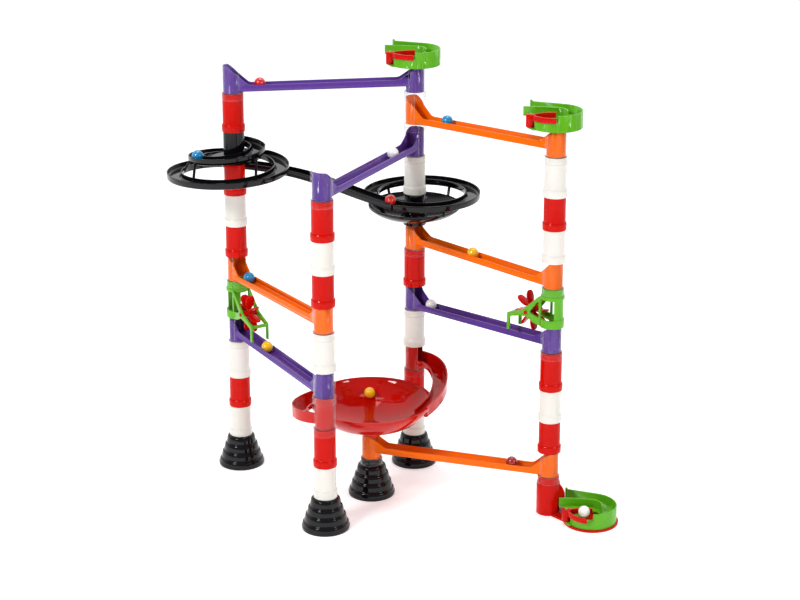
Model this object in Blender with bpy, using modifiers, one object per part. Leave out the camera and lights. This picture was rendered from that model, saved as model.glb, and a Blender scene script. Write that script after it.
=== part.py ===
"""Marble run: five stacked towers joined by ramps, spirals, a funnel, paddle wheels and gated U-turn trays.

Units are metres, +Z is up and the floor is z = 0. Every stacked piece adds one PITCH to its tower.
"""

import math

import bmesh
import bpy
from mathutils import Matrix, Vector

MM = 0.001

# Driving dimensions
PITCH = 40 * MM
SPAN = 222 * MM
PLAN_TURN = math.radians(61.2)
TUBE_R = 13 * MM
MARBLE_R = 7 * MM
GAP = 0.3 * MM
SIDES = 12

# Stacked tubes
COLLAR_R = 14.3 * MM
COLLAR_H = 8.2 * MM
SPIGOT_H = 7.7 * MM
SOCKET_R = TUBE_R + GAP
BORE_R = 11.6 * MM
TAPER_H = 1.2 * MM
FOOT_R = 28.8 * MM

# Ramps and their end shells
SHELL_R = BORE_R - GAP
SHELL_BORE_R = 10 * MM
RAMP_OUTER = 18.6 * MM
RAMP_INNER = 16 * MM
RAMP_FLOOR = 1.5 * MM
RAMP_SIDE = 8.6 * MM
RAMP_RISE = 6.5 * MM
SHELL_LOW = 8.6 * MM
RAMP_BASE = SHELL_LOW + 1.3 * MM
SHELL_HIGH = PITCH + 7 * MM
SHELL_TOP = PITCH + 2 * MM
GUSSET_FIRST = -5.4 * MM
GUSSET_LAST = 20.5 * MM
SLOT_W = RAMP_OUTER + 2 * GAP + 0.4 * MM

# Swept channels of the spiral, the dish ring and the track
CHANNEL_W = 19 * MM
CHANNEL_H = 8 * MM
CHANNEL_WALL = 1.6 * MM

# U-turn trays
TURN_R = 0.78 * PITCH
TURN_H = 20 * MM
TURN_WALL = 1.6 * MM
TURN_FLOOR_LOW = 8.5 * MM
TURN_FLOOR = 1.6 * MM
TURN_HOLE_Y = -0.3 * PITCH
TRAY_H = 2.4 * MM

# Paddle wheels, in the ramp's own direction from the tower's axis
WHEEL_OUT = 31 * MM
WHEEL_UP = 12.5 * MM
WHEEL_R = 25 * MM
PADDLES = 8
AXLE_R = 1.2 * MM
AXLE_BORE_R = 1.5 * MM

RED = (0.62, 0.010, 0.008)
WHITE = (0.80, 0.77, 0.72)
BLACK = (0.012, 0.012, 0.013)
PURPLE = (0.13, 0.055, 0.36)
ORANGE = (0.86, 0.15, 0.010)
GREEN = (0.13, 0.47, 0.030)
CLEAR = (0.90, 0.90, 0.92)
BLUE = (0.010, 0.19, 0.52)
YELLOW = (0.95, 0.50, 0.0)


def plan_positions():
    """Plan places of the towers: every ramp spans the same distance, and E stands midway between B and C."""
    c = Vector((math.cos(PLAN_TURN), math.sin(PLAN_TURN))) * SPAN / 2
    across = Vector((-math.sin(PLAN_TURN), math.cos(PLAN_TURN)))
    a = across * SPAN * math.sqrt(3) / 2
    d = c / 2 - across * SPAN * math.sqrt(15) / 4
    return {"a": a, "b": -c, "c": c, "d": d, "e": Vector((0, 0))}


def centred(places):
    """Shifts the plan so that the whole assembly's box is centred on the origin."""
    left = places["a"].x - SPIRAL_LEFT
    right = places["d"].x + CATCHER_X + TRAY_R
    front = places["b"].y - FOOT_R
    back = places["c"].y + RING_SHIFT.y + RING_R + CHANNEL_W / 2
    middle = Vector(((left + right) / 2, (front + back) / 2))
    return {name: place - middle for name, place in places.items()}


# Angles in degrees where the ring of the dish starts and ends
RING_FIRST = 240.6
RING_LAST = 539.74

# Spiral of tower A, ring of tower C, and the catcher beside tower D
SPIRAL_SHIFT = -0.2 * PITCH
SPIRAL_BIG_R = 1.66 * PITCH
SPIRAL_LEFT = SPIRAL_BIG_R - SPIRAL_SHIFT + CHANNEL_W / 2
RING_R = 1.585 * PITCH
RING_SHIFT = Vector((0.22, 0.2, 0)) * PITCH
CATCHER_X = 1.24 * PITCH
CATCHER_Y = -0.68 * PITCH
TRAY_R = TURN_R + 2 * MM

TOWER = centred(plan_positions())


# ---------------------------------------------------------------- scene and helpers


def clear_scene():
    for item in list(bpy.data.objects):
        bpy.data.objects.remove(item)


def new_collection(name):
    collection = bpy.data.collections.new(name)
    bpy.context.scene.collection.children.link(collection)
    return collection


clear_scene()
PARTS = new_collection("marble_run")
CUTTERS = new_collection("cutters")


def material(name, colour, roughness, alpha=1.0):
    made = bpy.data.materials.new(name)
    made.use_nodes = True
    shader = made.node_tree.nodes["Principled BSDF"]
    shader.inputs["Base Color"].default_value = (*colour, 1)
    shader.inputs["Roughness"].default_value = roughness
    shader.inputs["Metallic"].default_value = 0.0
    shader.inputs["Alpha"].default_value = alpha
    return made


def add_object(name, mesh, at=(0, 0, 0), turn=0.0):
    made = bpy.data.objects.new(name, mesh)
    made.location = at
    made.rotation_euler = (0, 0, turn)
    CUTTERS.objects.link(made)
    made.hide_render = True
    made.display_type = "WIRE"
    return made


def finish(piece, name, colour, roughness=0.3, alpha=1.0):
    """Names a sub-part, gives it its own material and moves it among the parts."""
    CUTTERS.objects.unlink(piece)
    PARTS.objects.link(piece)
    piece.hide_render = False
    piece.display_type = "TEXTURED"
    piece.name = name
    piece.data.materials.append(material(name + "_plastic", colour, roughness, alpha))
    if piece.data.polygons:
        piece.data.shade_smooth()
        piece.data.set_sharp_from_angle(angle=math.radians(40))
    return piece


def combine(base, operation, *helpers):
    for helper in helpers:
        change = base.modifiers.new(operation.lower(), "BOOLEAN")
        change.operation = operation
        change.solver = "EXACT"
        change.object = helper
    return base


def weld_out(bm):
    """Joins the loose caps and turns every face outwards."""
    bmesh.ops.remove_doubles(bm, verts=bm.verts, dist=1e-6)
    bmesh.ops.recalc_face_normals(bm, faces=bm.faces)


def mesh_from_curve(curve, transform=None):
    holder = bpy.data.objects.new(curve.name, curve)
    CUTTERS.objects.link(holder)
    depsgraph = bpy.context.evaluated_depsgraph_get()
    mesh = bpy.data.meshes.new_from_object(holder.evaluated_get(depsgraph))
    bpy.data.objects.remove(holder)
    bm = bmesh.new()
    bm.from_mesh(mesh)
    if transform is not None:
        bm.transform(transform)
    weld_out(bm)
    bm.to_mesh(mesh)
    bm.free()
    return mesh


def closed_line(curve, points):
    spline = curve.splines.new("POLY")
    spline.points.add(len(points) - 1)
    for point, place in zip(spline.points, points):
        point.co = (place[0], place[1], 0, 1)
    spline.use_cyclic_u = True


def plate(name, outline, thickness, transform=None):
    """A flat outline, extruded evenly to both sides of its plane."""
    curve = bpy.data.curves.new(name, "CURVE")
    curve.dimensions = "2D"
    curve.fill_mode = "BOTH"
    curve.extrude = thickness / 2
    closed_line(curve, outline)
    return mesh_from_curve(curve, transform)


def sweep(name, path, outline):
    """An upright outline carried along a path; its x points to the path's right side and its y up."""
    section = bpy.data.curves.new(name + "_section", "CURVE")
    section.dimensions = "2D"
    closed_line(section, outline)
    section_holder = bpy.data.objects.new(section.name, section)
    CUTTERS.objects.link(section_holder)
    curve = bpy.data.curves.new(name, "CURVE")
    curve.dimensions = "3D"
    curve.twist_mode = "Z_UP"
    curve.bevel_mode = "OBJECT"
    curve.bevel_object = section_holder
    curve.use_fill_caps = True
    spline = curve.splines.new("POLY")
    spline.points.add(len(path) - 1)
    for point, place in zip(spline.points, path):
        point.co = (*place, 1)
    mesh = mesh_from_curve(curve)
    bpy.data.objects.remove(section_holder)
    return mesh


def box_mesh(name, low, high):
    bm = bmesh.new()
    bmesh.ops.create_cube(bm, size=1)
    low, high = Vector(low), Vector(high)
    bm.transform(Matrix.Translation((low + high) / 2) @ Matrix.Diagonal((*(high - low), 1)))
    mesh = bpy.data.meshes.new(name)
    bm.to_mesh(mesh)
    bm.free()
    return mesh


def cylinder_mesh(name, radius, low, high, sides=SIDES, top_radius=None):
    bm = bmesh.new()
    top = radius if top_radius is None else top_radius
    bmesh.ops.create_cone(bm, cap_ends=True, segments=sides, radius1=radius, radius2=top, depth=high - low)
    bm.transform(Matrix.Translation((0, 0, (low + high) / 2)))
    mesh = bpy.data.meshes.new(name)
    bm.to_mesh(mesh)
    bm.free()
    return mesh


def lathe(name, profile, at, sides=SIDES):
    """Turns a closed profile of (radius, height) points, listed down its outer side, about its own Z axis."""
    mesh = bpy.data.meshes.new(name)
    count = len(profile)
    edges = [(i, (i + 1) % count) for i in range(count)]
    mesh.from_pydata([(r, 0, z) for r, z in profile], edges, [])
    turned = add_object(name, mesh, at)
    screw = turned.modifiers.new("turn", "SCREW")
    screw.steps = sides
    screw.render_steps = sides
    screw.use_merge_vertices = True
    screw.merge_threshold = 0.00001
    return turned


def on_axis(tower, level=0):
    """The point on a tower's axis at the bottom of a stacked level."""
    return Vector((*TOWER[tower], level * PITCH))


def ray(angle):
    """Level unit vector at an angle in degrees."""
    return Vector((math.cos(math.radians(angle)), math.sin(math.radians(angle)), 0))


def arc(centre, radius, start, end, steps):
    """Points of a plan arc, angles in degrees."""
    points = []
    for i in range(steps + 1):
        angle = math.radians(start + (end - start) * i / steps)
        points.append(Vector((centre[0] + radius * math.cos(angle), centre[1] + radius * math.sin(angle))))
    return points


def blend(stops, value):
    """Piecewise linear value between (position, value) stops."""
    for (p0, v0), (p1, v1) in zip(stops, stops[1:]):
        if value <= p1:
            return v0 + (v1 - v0) * (value - p0) / (p1 - p0)
    return stops[-1][1]


# ---------------------------------------------------------------- stacked tubes, sleeves and feet


def stack_profile(count):
    """Outer side, top to bottom, of tubes pushed into each other, and then their common bore."""
    points = [(TUBE_R, count * PITCH + SPIGOT_H)]
    for level in range(count - 1, -1, -1):
        base = level * PITCH
        points.append((TUBE_R, base + COLLAR_H + TAPER_H))
        points.append((COLLAR_R, base + COLLAR_H))
        points.append((COLLAR_R, base))
        if level:
            points.append((TUBE_R, base))
    points += [(SOCKET_R, 0), (SOCKET_R, COLLAR_H), (BORE_R, COLLAR_H), (BORE_R, count * PITCH + SPIGOT_H)]
    return points


def tube_run(tower, level, count, colour):
    name = f"tube_{tower}{level}" if count == 1 else f"tubes_{tower}{level}_to_{tower}{level + count - 1}"
    return finish(lathe(name, stack_profile(count), on_axis(tower, level)), name, colour)


def sleeve_run(tower, level, openings):
    """Clear sleeves, with one open-topped slot for each ramp that leaves them, listed by direction."""
    count = len(openings)
    name = f"sleeve_{tower}{level}" if count == 1 else f"sleeves_{tower}{level}_to_{tower}{level + count - 1}"
    sleeve = lathe(name, stack_profile(count), on_axis(tower, level))
    for step, direction in enumerate(openings):
        low = step * PITCH + SHELL_LOW - GAP
        is_top = step == count - 1
        high = (step + 1) * PITCH + (2 * SPIGOT_H if is_top else -GAP)
        slot = box_mesh(name + "_slot", (0, -SLOT_W / 2, low), (2 * TUBE_R, SLOT_W / 2, high))
        combine(sleeve, "DIFFERENCE", add_object(name + "_slot", slot, on_axis(tower, level), direction))
    return finish(sleeve, name, CLEAR, 0.08, 0.35)


def foot(tower):
    """Stepped cone, hollow below, with a spigot for the first tube."""
    steps = 4
    wall = 2 * MM
    outer = [(TUBE_R, PITCH + SPIGOT_H), (TUBE_R, PITCH - GAP)]
    step_h = (PITCH - GAP) / steps
    neck_r = 15 * MM
    for i in range(steps):
        top_r = neck_r + (FOOT_R - neck_r) * i / steps
        low_r = neck_r + (FOOT_R - neck_r) * (i + 0.8) / steps
        outer.append((top_r, PITCH - GAP - i * step_h))
        outer.append((low_r, PITCH - GAP - (i + 1) * step_h + 1 * MM))
    outer += [(FOOT_R, 5 * MM), (FOOT_R, 0)]
    inner = [(FOOT_R - wall, 0), (FOOT_R - wall, 3 * MM), (BORE_R, PITCH - 4 * MM), (BORE_R, PITCH + SPIGOT_H)]
    name = f"foot_{tower}"
    return finish(lathe(name, outer + inner, on_axis(tower)), name, BLACK, 0.25)


# ---------------------------------------------------------------- ramps


def ramp_direction(upper, lower):
    run = TOWER[lower] - TOWER[upper]
    return math.atan2(run.y, run.x)


def ramp_floor(distance):
    """Height of the ramp's underside above its level, at a distance from the upper tower's axis."""
    return RAMP_BASE + RAMP_RISE * (1 - distance / SPAN)


def ramp(name, upper, lower, level, colour):
    """U-shaped channel with a shell at each end, whose top falls straight to the channel's rim."""
    direction = ramp_direction(upper, lower)
    upright = Matrix.Rotation(math.pi / 2, 4, "X")

    def side(distance, up):
        return (distance, ramp_floor(distance) + up)

    first, last, clear = GUSSET_FIRST, GUSSET_LAST, 2 * PITCH
    outline = [side(0, 0), side(SPAN, 0), (SPAN, SHELL_TOP + GAP), (0, SHELL_TOP + GAP)]
    body = add_object(name, plate(name, outline, RAMP_OUTER, upright), on_axis(upper, level), direction)
    shells = []
    for tower in (upper, lower):
        mesh = cylinder_mesh(name + "_shell", SHELL_R, SHELL_LOW, SHELL_HIGH)
        shells.append(add_object(name + "_shell", mesh, on_axis(tower, level)))
    combine(body, "UNION", *shells)
    above = [(-TUBE_R, SHELL_TOP), (first, SHELL_TOP), side(last, RAMP_SIDE), side(SPAN - last, RAMP_SIDE)]
    above += [(SPAN - first, SHELL_TOP), (SPAN + TUBE_R, SHELL_TOP), (SPAN + TUBE_R, clear), (-TUBE_R, clear)]
    top_cut = plate(name + "_top", above, 2 * TUBE_R, upright)
    combine(body, "DIFFERENCE", add_object(name + "_top", top_cut, on_axis(upper, level), direction))
    inside = [side(0, RAMP_FLOOR), side(SPAN, RAMP_FLOOR), (SPAN, clear), (0, clear)]
    channel = plate(name + "_channel", inside, RAMP_INNER, upright)
    channel_cut = add_object(name + "_channel", channel, on_axis(upper, level), direction)
    upper_bore = cylinder_mesh(name + "_bore", SHELL_BORE_R, ramp_floor(0) + RAMP_FLOOR, clear)
    lower_bore = cylinder_mesh(name + "_bore", SHELL_BORE_R, 0, clear)
    combine(body, "DIFFERENCE", channel_cut)
    combine(body, "DIFFERENCE", add_object(name + "_bore", upper_bore, on_axis(upper, level)))
    combine(body, "DIFFERENCE", add_object(name + "_bore", lower_bore, on_axis(lower, level)))
    return finish(body, name, colour, 0.25)


# ---------------------------------------------------------------- spiral, track and dish


def channel_outline():
    """Upright U section; the outer wall is on the path's left side for a clockwise path."""
    half, wall, height = CHANNEL_W / 2, CHANNEL_WALL, CHANNEL_H
    return [(-half, 0), (half, 0), (half, height), (half - wall, height), (half - wall, wall),
            (-half + wall, wall), (-half + wall, height), (-half, height)]


# Radius and rim height of the spiral, in pitches, against the degrees turned from its entry
SPIRAL_RADII = [(0, 0.62), (70, 0.93), (300, 0.99), (345, 1.2), (385, 1.66), (720, 1.66)]
SPIRAL_RIMS = [(0, 10.66), (165, 10.41), (300, 10.17), (378, 10.0), (615, 9.75), (720, 9.61)]
SPIRAL_START = 75


def spiral_floor(turned):
    return blend(SPIRAL_RIMS, turned) * PITCH - CHANNEL_H


def spiral_path():
    """Two clockwise turns that grow from the tube's side to the big ring, falling all the way."""
    total, step = 690, 23
    points = []
    for turned in range(0, total + 1, step):
        angle = math.radians(SPIRAL_START - turned)
        radius = blend(SPIRAL_RADII, turned) * PITCH
        x = SPIRAL_SHIFT + radius * math.cos(angle)
        points.append(Vector((x, radius * math.sin(angle), spiral_floor(turned))))
    points.append(points[-1] + Vector((5 * MM, 0, -0.2 * MM)))
    return points


def strut(name, low, high, radius=1.4 * MM):
    """A thin round post between two points."""
    run = Vector(high) - Vector(low)
    bm = bmesh.new()
    bmesh.ops.create_cone(bm, cap_ends=True, segments=6, radius1=radius, radius2=radius, depth=run.length)
    turn = run.to_track_quat("Z", "Y").to_matrix().to_4x4()
    bm.transform(Matrix.Translation((Vector(low) + Vector(high)) / 2) @ turn)
    mesh = bpy.data.meshes.new(name)
    bm.to_mesh(mesh)
    bm.free()
    return add_object(name, mesh)


def moved(piece, offset):
    piece.location = Vector(piece.location) + Vector(offset)
    return piece


def spiral():
    """Tower tube with a web, a small raised ring and a big low ring around it."""
    name = "spiral_track"
    level = 10
    base = on_axis("a", level)
    axis = on_axis("a")
    tube = lathe(name, stack_profile(1), base)
    path = spiral_path()
    rings = add_object(name + "_rings", sweep(name + "_rings", path, channel_outline()), axis)
    web_low, web_high = 4 * MM, 6 * MM
    web = add_object(name + "_web", cylinder_mesh(name + "_web", 30 * MM, web_low, web_high, 16), base)
    combine(tube, "UNION", web, rings)
    for angle in (20, 110, 200, 290):
        foot_at = ray(angle) * 28 * MM + Vector((0, 0, level * PITCH + web_low + 0.5 * MM))
        head_at = ray(angle) * 30 * MM + Vector((SPIRAL_SHIFT, 0, 0))
        head_at.z = spiral_floor((SPIRAL_START - angle) % 360) + 0.8 * MM
        combine(tube, "UNION", moved(strut(name + "_prop", foot_at, head_at), axis))
    for high_angle, low_angle in ((-39, -49.5), (-142, -132), (165, 165)):
        shift = Vector((SPIRAL_SHIFT, 0, 0))
        high = shift + ray(high_angle) * 1.19 * PITCH
        high.z = spiral_floor((SPIRAL_START - high_angle) % 360) + 0.8 * MM
        low = shift + ray(low_angle) * 1.44 * PITCH
        low.z = spiral_floor((SPIRAL_START - low_angle) % 360 + 360) + 3 * MM
        combine(tube, "UNION", moved(strut(name + "_post", low, high), axis))
    floor = 14 * MM
    bore = cylinder_mesh(name + "_bore", BORE_R, COLLAR_H + GAP, 2 * PITCH)
    socket = cylinder_mesh(name + "_socket", SOCKET_R, -PITCH, COLLAR_H)
    plug = cylinder_mesh(name + "_plug", BORE_R + 0.7 * MM, floor - 3 * MM, floor)
    door = box_mesh(name + "_door", (0, -RAMP_INNER / 2, floor + 0.2 * MM), (2 * TUBE_R, RAMP_INNER / 2, 34 * MM))
    combine(tube, "DIFFERENCE", add_object(name + "_bore", bore, base), add_object(name + "_socket", socket, base))
    combine(tube, "UNION", add_object(name + "_plug", plug, base))
    combine(tube, "DIFFERENCE", add_object(name + "_door", door, base, math.radians(95)))
    return finish(tube, name, BLACK, 0.2)


def link_path():
    """From the big ring's far end to the entry of the dish's ring, in world coordinates."""
    start = spiral_path()[-1] + on_axis("a")
    ring_in = Vector((*TOWER["c"], 0)) + arc(RING_SHIFT.xy, RING_R, RING_FIRST - 2, RING_FIRST - 2, 1)[0].to_3d()
    ring_in.z = 9.02 * PITCH - CHANNEL_H
    lead = Vector((1, 0.0, 0)) * 2.9 * PITCH
    arrive = Vector((0.85, -0.53, 0)) * 2.2 * PITCH
    steps = 14
    points = []
    for i in range(steps + 1):
        t = i / steps
        a, b, c, d = start, start + lead, ring_in - arrive, ring_in
        point = a * (1 - t) ** 3 + b * 3 * t * (1 - t) ** 2 + c * 3 * t * t * (1 - t) + d * t ** 3
        point.z = start.z + (ring_in.z - start.z) * t
        points.append(point)
    return points


def link_track():
    path = link_path()
    path[0] = path[0] + Vector((0.6 * MM, 0, 0))
    return finish(add_object("link_track", sweep("link_track", path, channel_outline())), "link_track", BLACK, 0.2)


def ring_floor(share):
    return (9.01 - 0.03 * share) * PITCH - CHANNEL_H


def ring_path():
    """Anticlockwise channel around the dish, from its entry to just short of a full turn."""
    steps = 20
    points = []
    for i, place in enumerate(arc(RING_SHIFT.xy, RING_R, RING_FIRST, RING_LAST, steps)):
        points.append(Vector((place.x, place.y, ring_floor(i / steps))))
    straight_end = arc(RING_SHIFT.xy, RING_R, RING_FIRST + 2, RING_FIRST + 2, 1)[0]
    points.insert(1, Vector((straight_end.x, straight_end.y, points[0].z)))
    return points


def dish():
    """Bowl with a centre hub, and a raised channel ring that feeds it."""
    name = "dish_track"
    base = on_axis("c", 8)
    rim_r = 57.5 * MM
    core_r = 8 * MM
    profile = [(rim_r, 25 * MM), (rim_r, 22.5 * MM), (46 * MM, 14 * MM), (28 * MM, 9.6 * MM), (COLLAR_R, COLLAR_H),
               (COLLAR_R, 0), (core_r, 0), (core_r, 10 * MM), (28 * MM, 11.4 * MM), (45 * MM, 15.8 * MM),
               (rim_r - 1.6 * MM, 23.5 * MM), (rim_r - 1.6 * MM, 25 * MM)]
    bowl = lathe(name, profile, base, 20)
    socket = cylinder_mesh(name + "_socket", SOCKET_R, -PITCH, COLLAR_H)
    hub = cylinder_mesh(name + "_hub", TUBE_R, 1 * MM, PITCH + SPIGOT_H)
    bore = cylinder_mesh(name + "_bore", BORE_R, -PITCH, 2 * PITCH)
    ring = add_object(name + "_ring", sweep(name + "_ring", ring_path(), channel_outline()), on_axis("c"))
    combine(bowl, "UNION", ring, add_object(name + "_hub", hub, base))
    for low_angle, high_angle in ((42, 51), (123.5, 138), (308, 300)):
        share = (high_angle - RING_FIRST) % 360 / (RING_LAST - RING_FIRST)
        low = ray(low_angle) * (rim_r - 1.1 * MM) + Vector((0, 0, 8 * PITCH + 21.4 * MM))
        high = RING_SHIFT + ray(high_angle) * (RING_R - CHANNEL_W / 2 + 2.4 * MM)
        high.z = ring_floor(share) + 0.9 * MM
        combine(bowl, "UNION", moved(strut(name + "_post", low, high), on_axis("c")))
    combine(bowl, "DIFFERENCE", add_object(name + "_bore", bore, base))
    for angle in (40, 160, 280):
        door = box_mesh(name + "_door", (4 * MM, -7.6 * MM, 10.1 * MM), (13.6 * MM, 7.6 * MM, 27 * MM))
        combine(bowl, "DIFFERENCE", add_object(name + "_door", door, base, math.radians(angle)))
    combine(bowl, "DIFFERENCE", add_object(name + "_socket", socket, base))
    return finish(bowl, name, BLACK, 0.2)


# ---------------------------------------------------------------- funnel

FUNNEL_RIM_R = 75.5 * MM
ARM_HIGH = 14 * MM
ARM_LOW = 7 * MM


def arm_path(side):
    """Slide from a tower's axis around to the inside of the funnel's rim; side -1 is the half-turned copy."""
    stops = [(1.337, 2.434, 3.38), (1.75, 2.255, 3.34), (2.03, 1.88, 3.26), (2.14, 1.35, 3.15), (2.12, 0.80, 3.04),
             (1.99, 0.27, 2.94), (1.78, -0.2, 2.86), (1.52, -0.60, 2.80)]
    centre = TOWER["e"]
    start = TOWER["c"] - centre
    points = [Vector((centre.x + side * start.x, centre.y + side * start.y, stops[0][2] * PITCH))]
    for x, y, z in stops[1:]:
        points.append(Vector((centre.x + side * x * PITCH, centre.y + side * y * PITCH, z * PITCH)))
    return points


def arm_direction(side):
    path = arm_path(side)
    run = path[1] - path[0]
    return math.atan2(run.y, run.x)


def arm_outline():
    half, wall = CHANNEL_W / 2, CHANNEL_WALL
    return [(-half, 0), (half, 0), (half, ARM_LOW), (half - wall, ARM_LOW), (half - wall, wall),
            (-half + wall, wall), (-half + wall, ARM_HIGH), (-half, ARM_HIGH)]


def arm_inside():
    half = CHANNEL_W / 2 - CHANNEL_WALL - 0.1 * MM
    return [(-half, CHANNEL_WALL), (half, CHANNEL_WALL), (half, 26 * MM), (-half, 26 * MM)]


def funnel():
    """Wide bowl over the centre tower, with a curved slide from each of the two towers beside it."""
    name = "funnel"
    base = on_axis("e", 2)
    wall_r = FUNNEL_RIM_R - 1.6 * MM
    profile = [(FUNNEL_RIM_R, 44 * MM), (FUNNEL_RIM_R, 41.6 * MM), (66 * MM, 28.8 * MM),
               (53 * MM, 17.9 * MM), (37 * MM, 12 * MM),
               (COLLAR_R, COLLAR_H), (COLLAR_R, 0), (SOCKET_R, 0), (SOCKET_R, COLLAR_H - 0.1 * MM),
               (BORE_R, COLLAR_H - 0.1 * MM), (BORE_R, 9.8 * MM), (20 * MM, 10.6 * MM), (36 * MM, 13.8 * MM),
               (52 * MM, 19.8 * MM), (65 * MM, 30.6 * MM), (wall_r, 42.2 * MM), (wall_r, 44 * MM)]
    bowl = lathe(name, profile, base, 32)
    cuts = []
    for side, tower in ((1, "c"), (-1, "b")):
        path = arm_path(side)
        arm = add_object(name + "_arm", sweep(name + "_arm", path, arm_outline()))
        shell = cylinder_mesh(name + "_shell", SHELL_R, SHELL_LOW, SHELL_HIGH)
        combine(bowl, "UNION", arm, add_object(name + "_shell", shell, on_axis(tower, 3)))
        floor = path[0].z - 3 * PITCH + CHANNEL_WALL - GAP
        bore = cylinder_mesh(name + "_bore", SHELL_BORE_R - 0.2 * MM, floor, 2 * PITCH)
        through = [path[0].lerp(path[1], -0.06)] + path[1:-1] + [path[-2].lerp(path[-1], 1.06)]
        cuts.append(add_object(name + "_inside", sweep(name + "_inside", through, arm_inside())))
        cuts.append(add_object(name + "_bore", bore, on_axis(tower, 3)))
    combine(bowl, "DIFFERENCE", *cuts)
    return finish(bowl, name, RED, 0.12)


# ---------------------------------------------------------------- U-turn trays, latches and the base of tower D

PIVOT = Vector((-0.75 * PITCH, -0.22 * PITCH))
PEG_R = 1.8 * MM
LATCH_LOW = TURN_FLOOR_LOW + TURN_FLOOR + 0.5 * MM
LATCH_HIGH = 17 * MM


def turn_outer_path():
    """Plan line of the outer wall: a straight lead-in, then round clockwise to the front."""
    radius = TURN_R - TURN_WALL / 2
    return [Vector((-0.65, 1.05)) * PITCH] + arc((0, 0), radius, 71, -90, 12)


def turn_inner_path():
    return [Vector((-0.92, 0.45)) * PITCH, Vector((-0.45, 0.415)) * PITCH] + arc((0, 0), 0.33 * PITCH, 75, -20, 5)


def wall(name, plan, low, high):
    half = TURN_WALL / 2
    outline = [(-half, 0), (half, 0), (half, high - low), (-half, high - low)]
    return add_object(name, sweep(name, [Vector((p.x, p.y, low)) for p in plan], outline))


def turn_tray(name, centre, low):
    """U-turn channel: floor, outer wall, inner wall with a nose, a socket below and a peg for its latch."""
    offset = Vector((*centre, low))
    floor_high = TURN_FLOOR_LOW + TURN_FLOOR
    edge = turn_outer_path() + arc((0, 0), TURN_R - TURN_WALL / 2, -105, -150, 3)
    edge += [Vector((-0.53, -0.30)) * PITCH, Vector((-0.53, 0.05)) * PITCH, Vector((-0.91, 0.44)) * PITCH]
    lift = Matrix.Translation((0, 0, TURN_FLOOR_LOW + TURN_FLOOR / 2))
    tray = moved(add_object(name, plate(name, edge, TURN_FLOOR, lift)), offset)
    outer = wall(name + "_outer", turn_outer_path(), 0, TURN_H)
    low_wall = wall(name + "_low", arc((0, 0), TURN_R - TURN_WALL / 2, -88, -146, 5), 0.2 * MM, floor_high - 0.2 * MM)
    inner = wall(name + "_inner", turn_inner_path(), TURN_FLOOR_LOW + 0.3 * MM, TURN_H - 0.3 * MM)
    post = add_object(name + "_post", cylinder_mesh(name + "_post", 1.5 * MM, 0.2 * MM, TURN_H + 1.5 * MM, 8),
                      (-0.65 * PITCH, 1.05 * PITCH, 0))
    collar_at = Vector((0, TURN_HOLE_Y, 0))
    collar = add_object(name + "_collar", cylinder_mesh(name + "_collar", COLLAR_R, 0, TURN_FLOOR_LOW + 0.4 * MM),
                        collar_at)
    ear = add_object(name + "_ear", box_mesh(name + "_ear", (-3 * MM, -12 * MM, 0.5 * MM), (3 * MM, 2 * MM, 2 * MM)),
                     (PIVOT.x, PIVOT.y, 0), math.radians(24))
    peg = add_object(name + "_peg", cylinder_mesh(name + "_peg", PEG_R, 0.9 * MM, LATCH_HIGH + 1 * MM, 10),
                     (PIVOT.x, PIVOT.y, 0))
    for helper in (outer, low_wall, inner, post, collar, ear, peg):
        moved(helper, offset)
        combine(tray, "UNION", helper)
    socket = cylinder_mesh(name + "_socket", SOCKET_R, -PITCH, COLLAR_H)
    hole = cylinder_mesh(name + "_hole", BORE_R, 0, PITCH)
    for mesh in (socket, hole):
        combine(tray, "DIFFERENCE", moved(add_object(mesh.name, mesh, collar_at), offset))
    return finish(tray, name, GREEN, 0.3)


def latch(name, centre, low, turn=0.0):
    """Two-armed gate on the tray's peg; its origin is the peg's axis."""
    at = Vector((centre[0] + PIVOT.x, centre[1] + PIVOT.y, low))
    hub = add_object(name, cylinder_mesh(name, 5.4 * MM, 2.2 * MM, LATCH_HIGH, 14), at, turn)
    half = 1 * MM
    high = LATCH_HIGH - LATCH_LOW - 0.3 * MM
    outline = [(-half, 0), (half, 0), (half, high), (-half, high)]
    rear = [Vector((0, 0)), Vector((0.40, 0.20)) * PITCH, Vector((0.72, 0.24)) * PITCH]
    front = [Vector((0, 0))] + [p - PIVOT for p in arc((0, 0), TURN_R - 1.4 * MM, 212, 264, 5)]
    for plan in (rear, front):
        path = [Vector((p.x, p.y, LATCH_LOW)) for p in plan]
        combine(hub, "UNION", add_object(name + "_arm", sweep(name + "_arm", path, outline), at, turn))
    hole = cylinder_mesh(name + "_hole", PEG_R + GAP, 0, PITCH, 10)
    combine(hub, "DIFFERENCE", add_object(name + "_hole", hole, at))
    return finish(hub, name, RED, 0.3)


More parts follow.
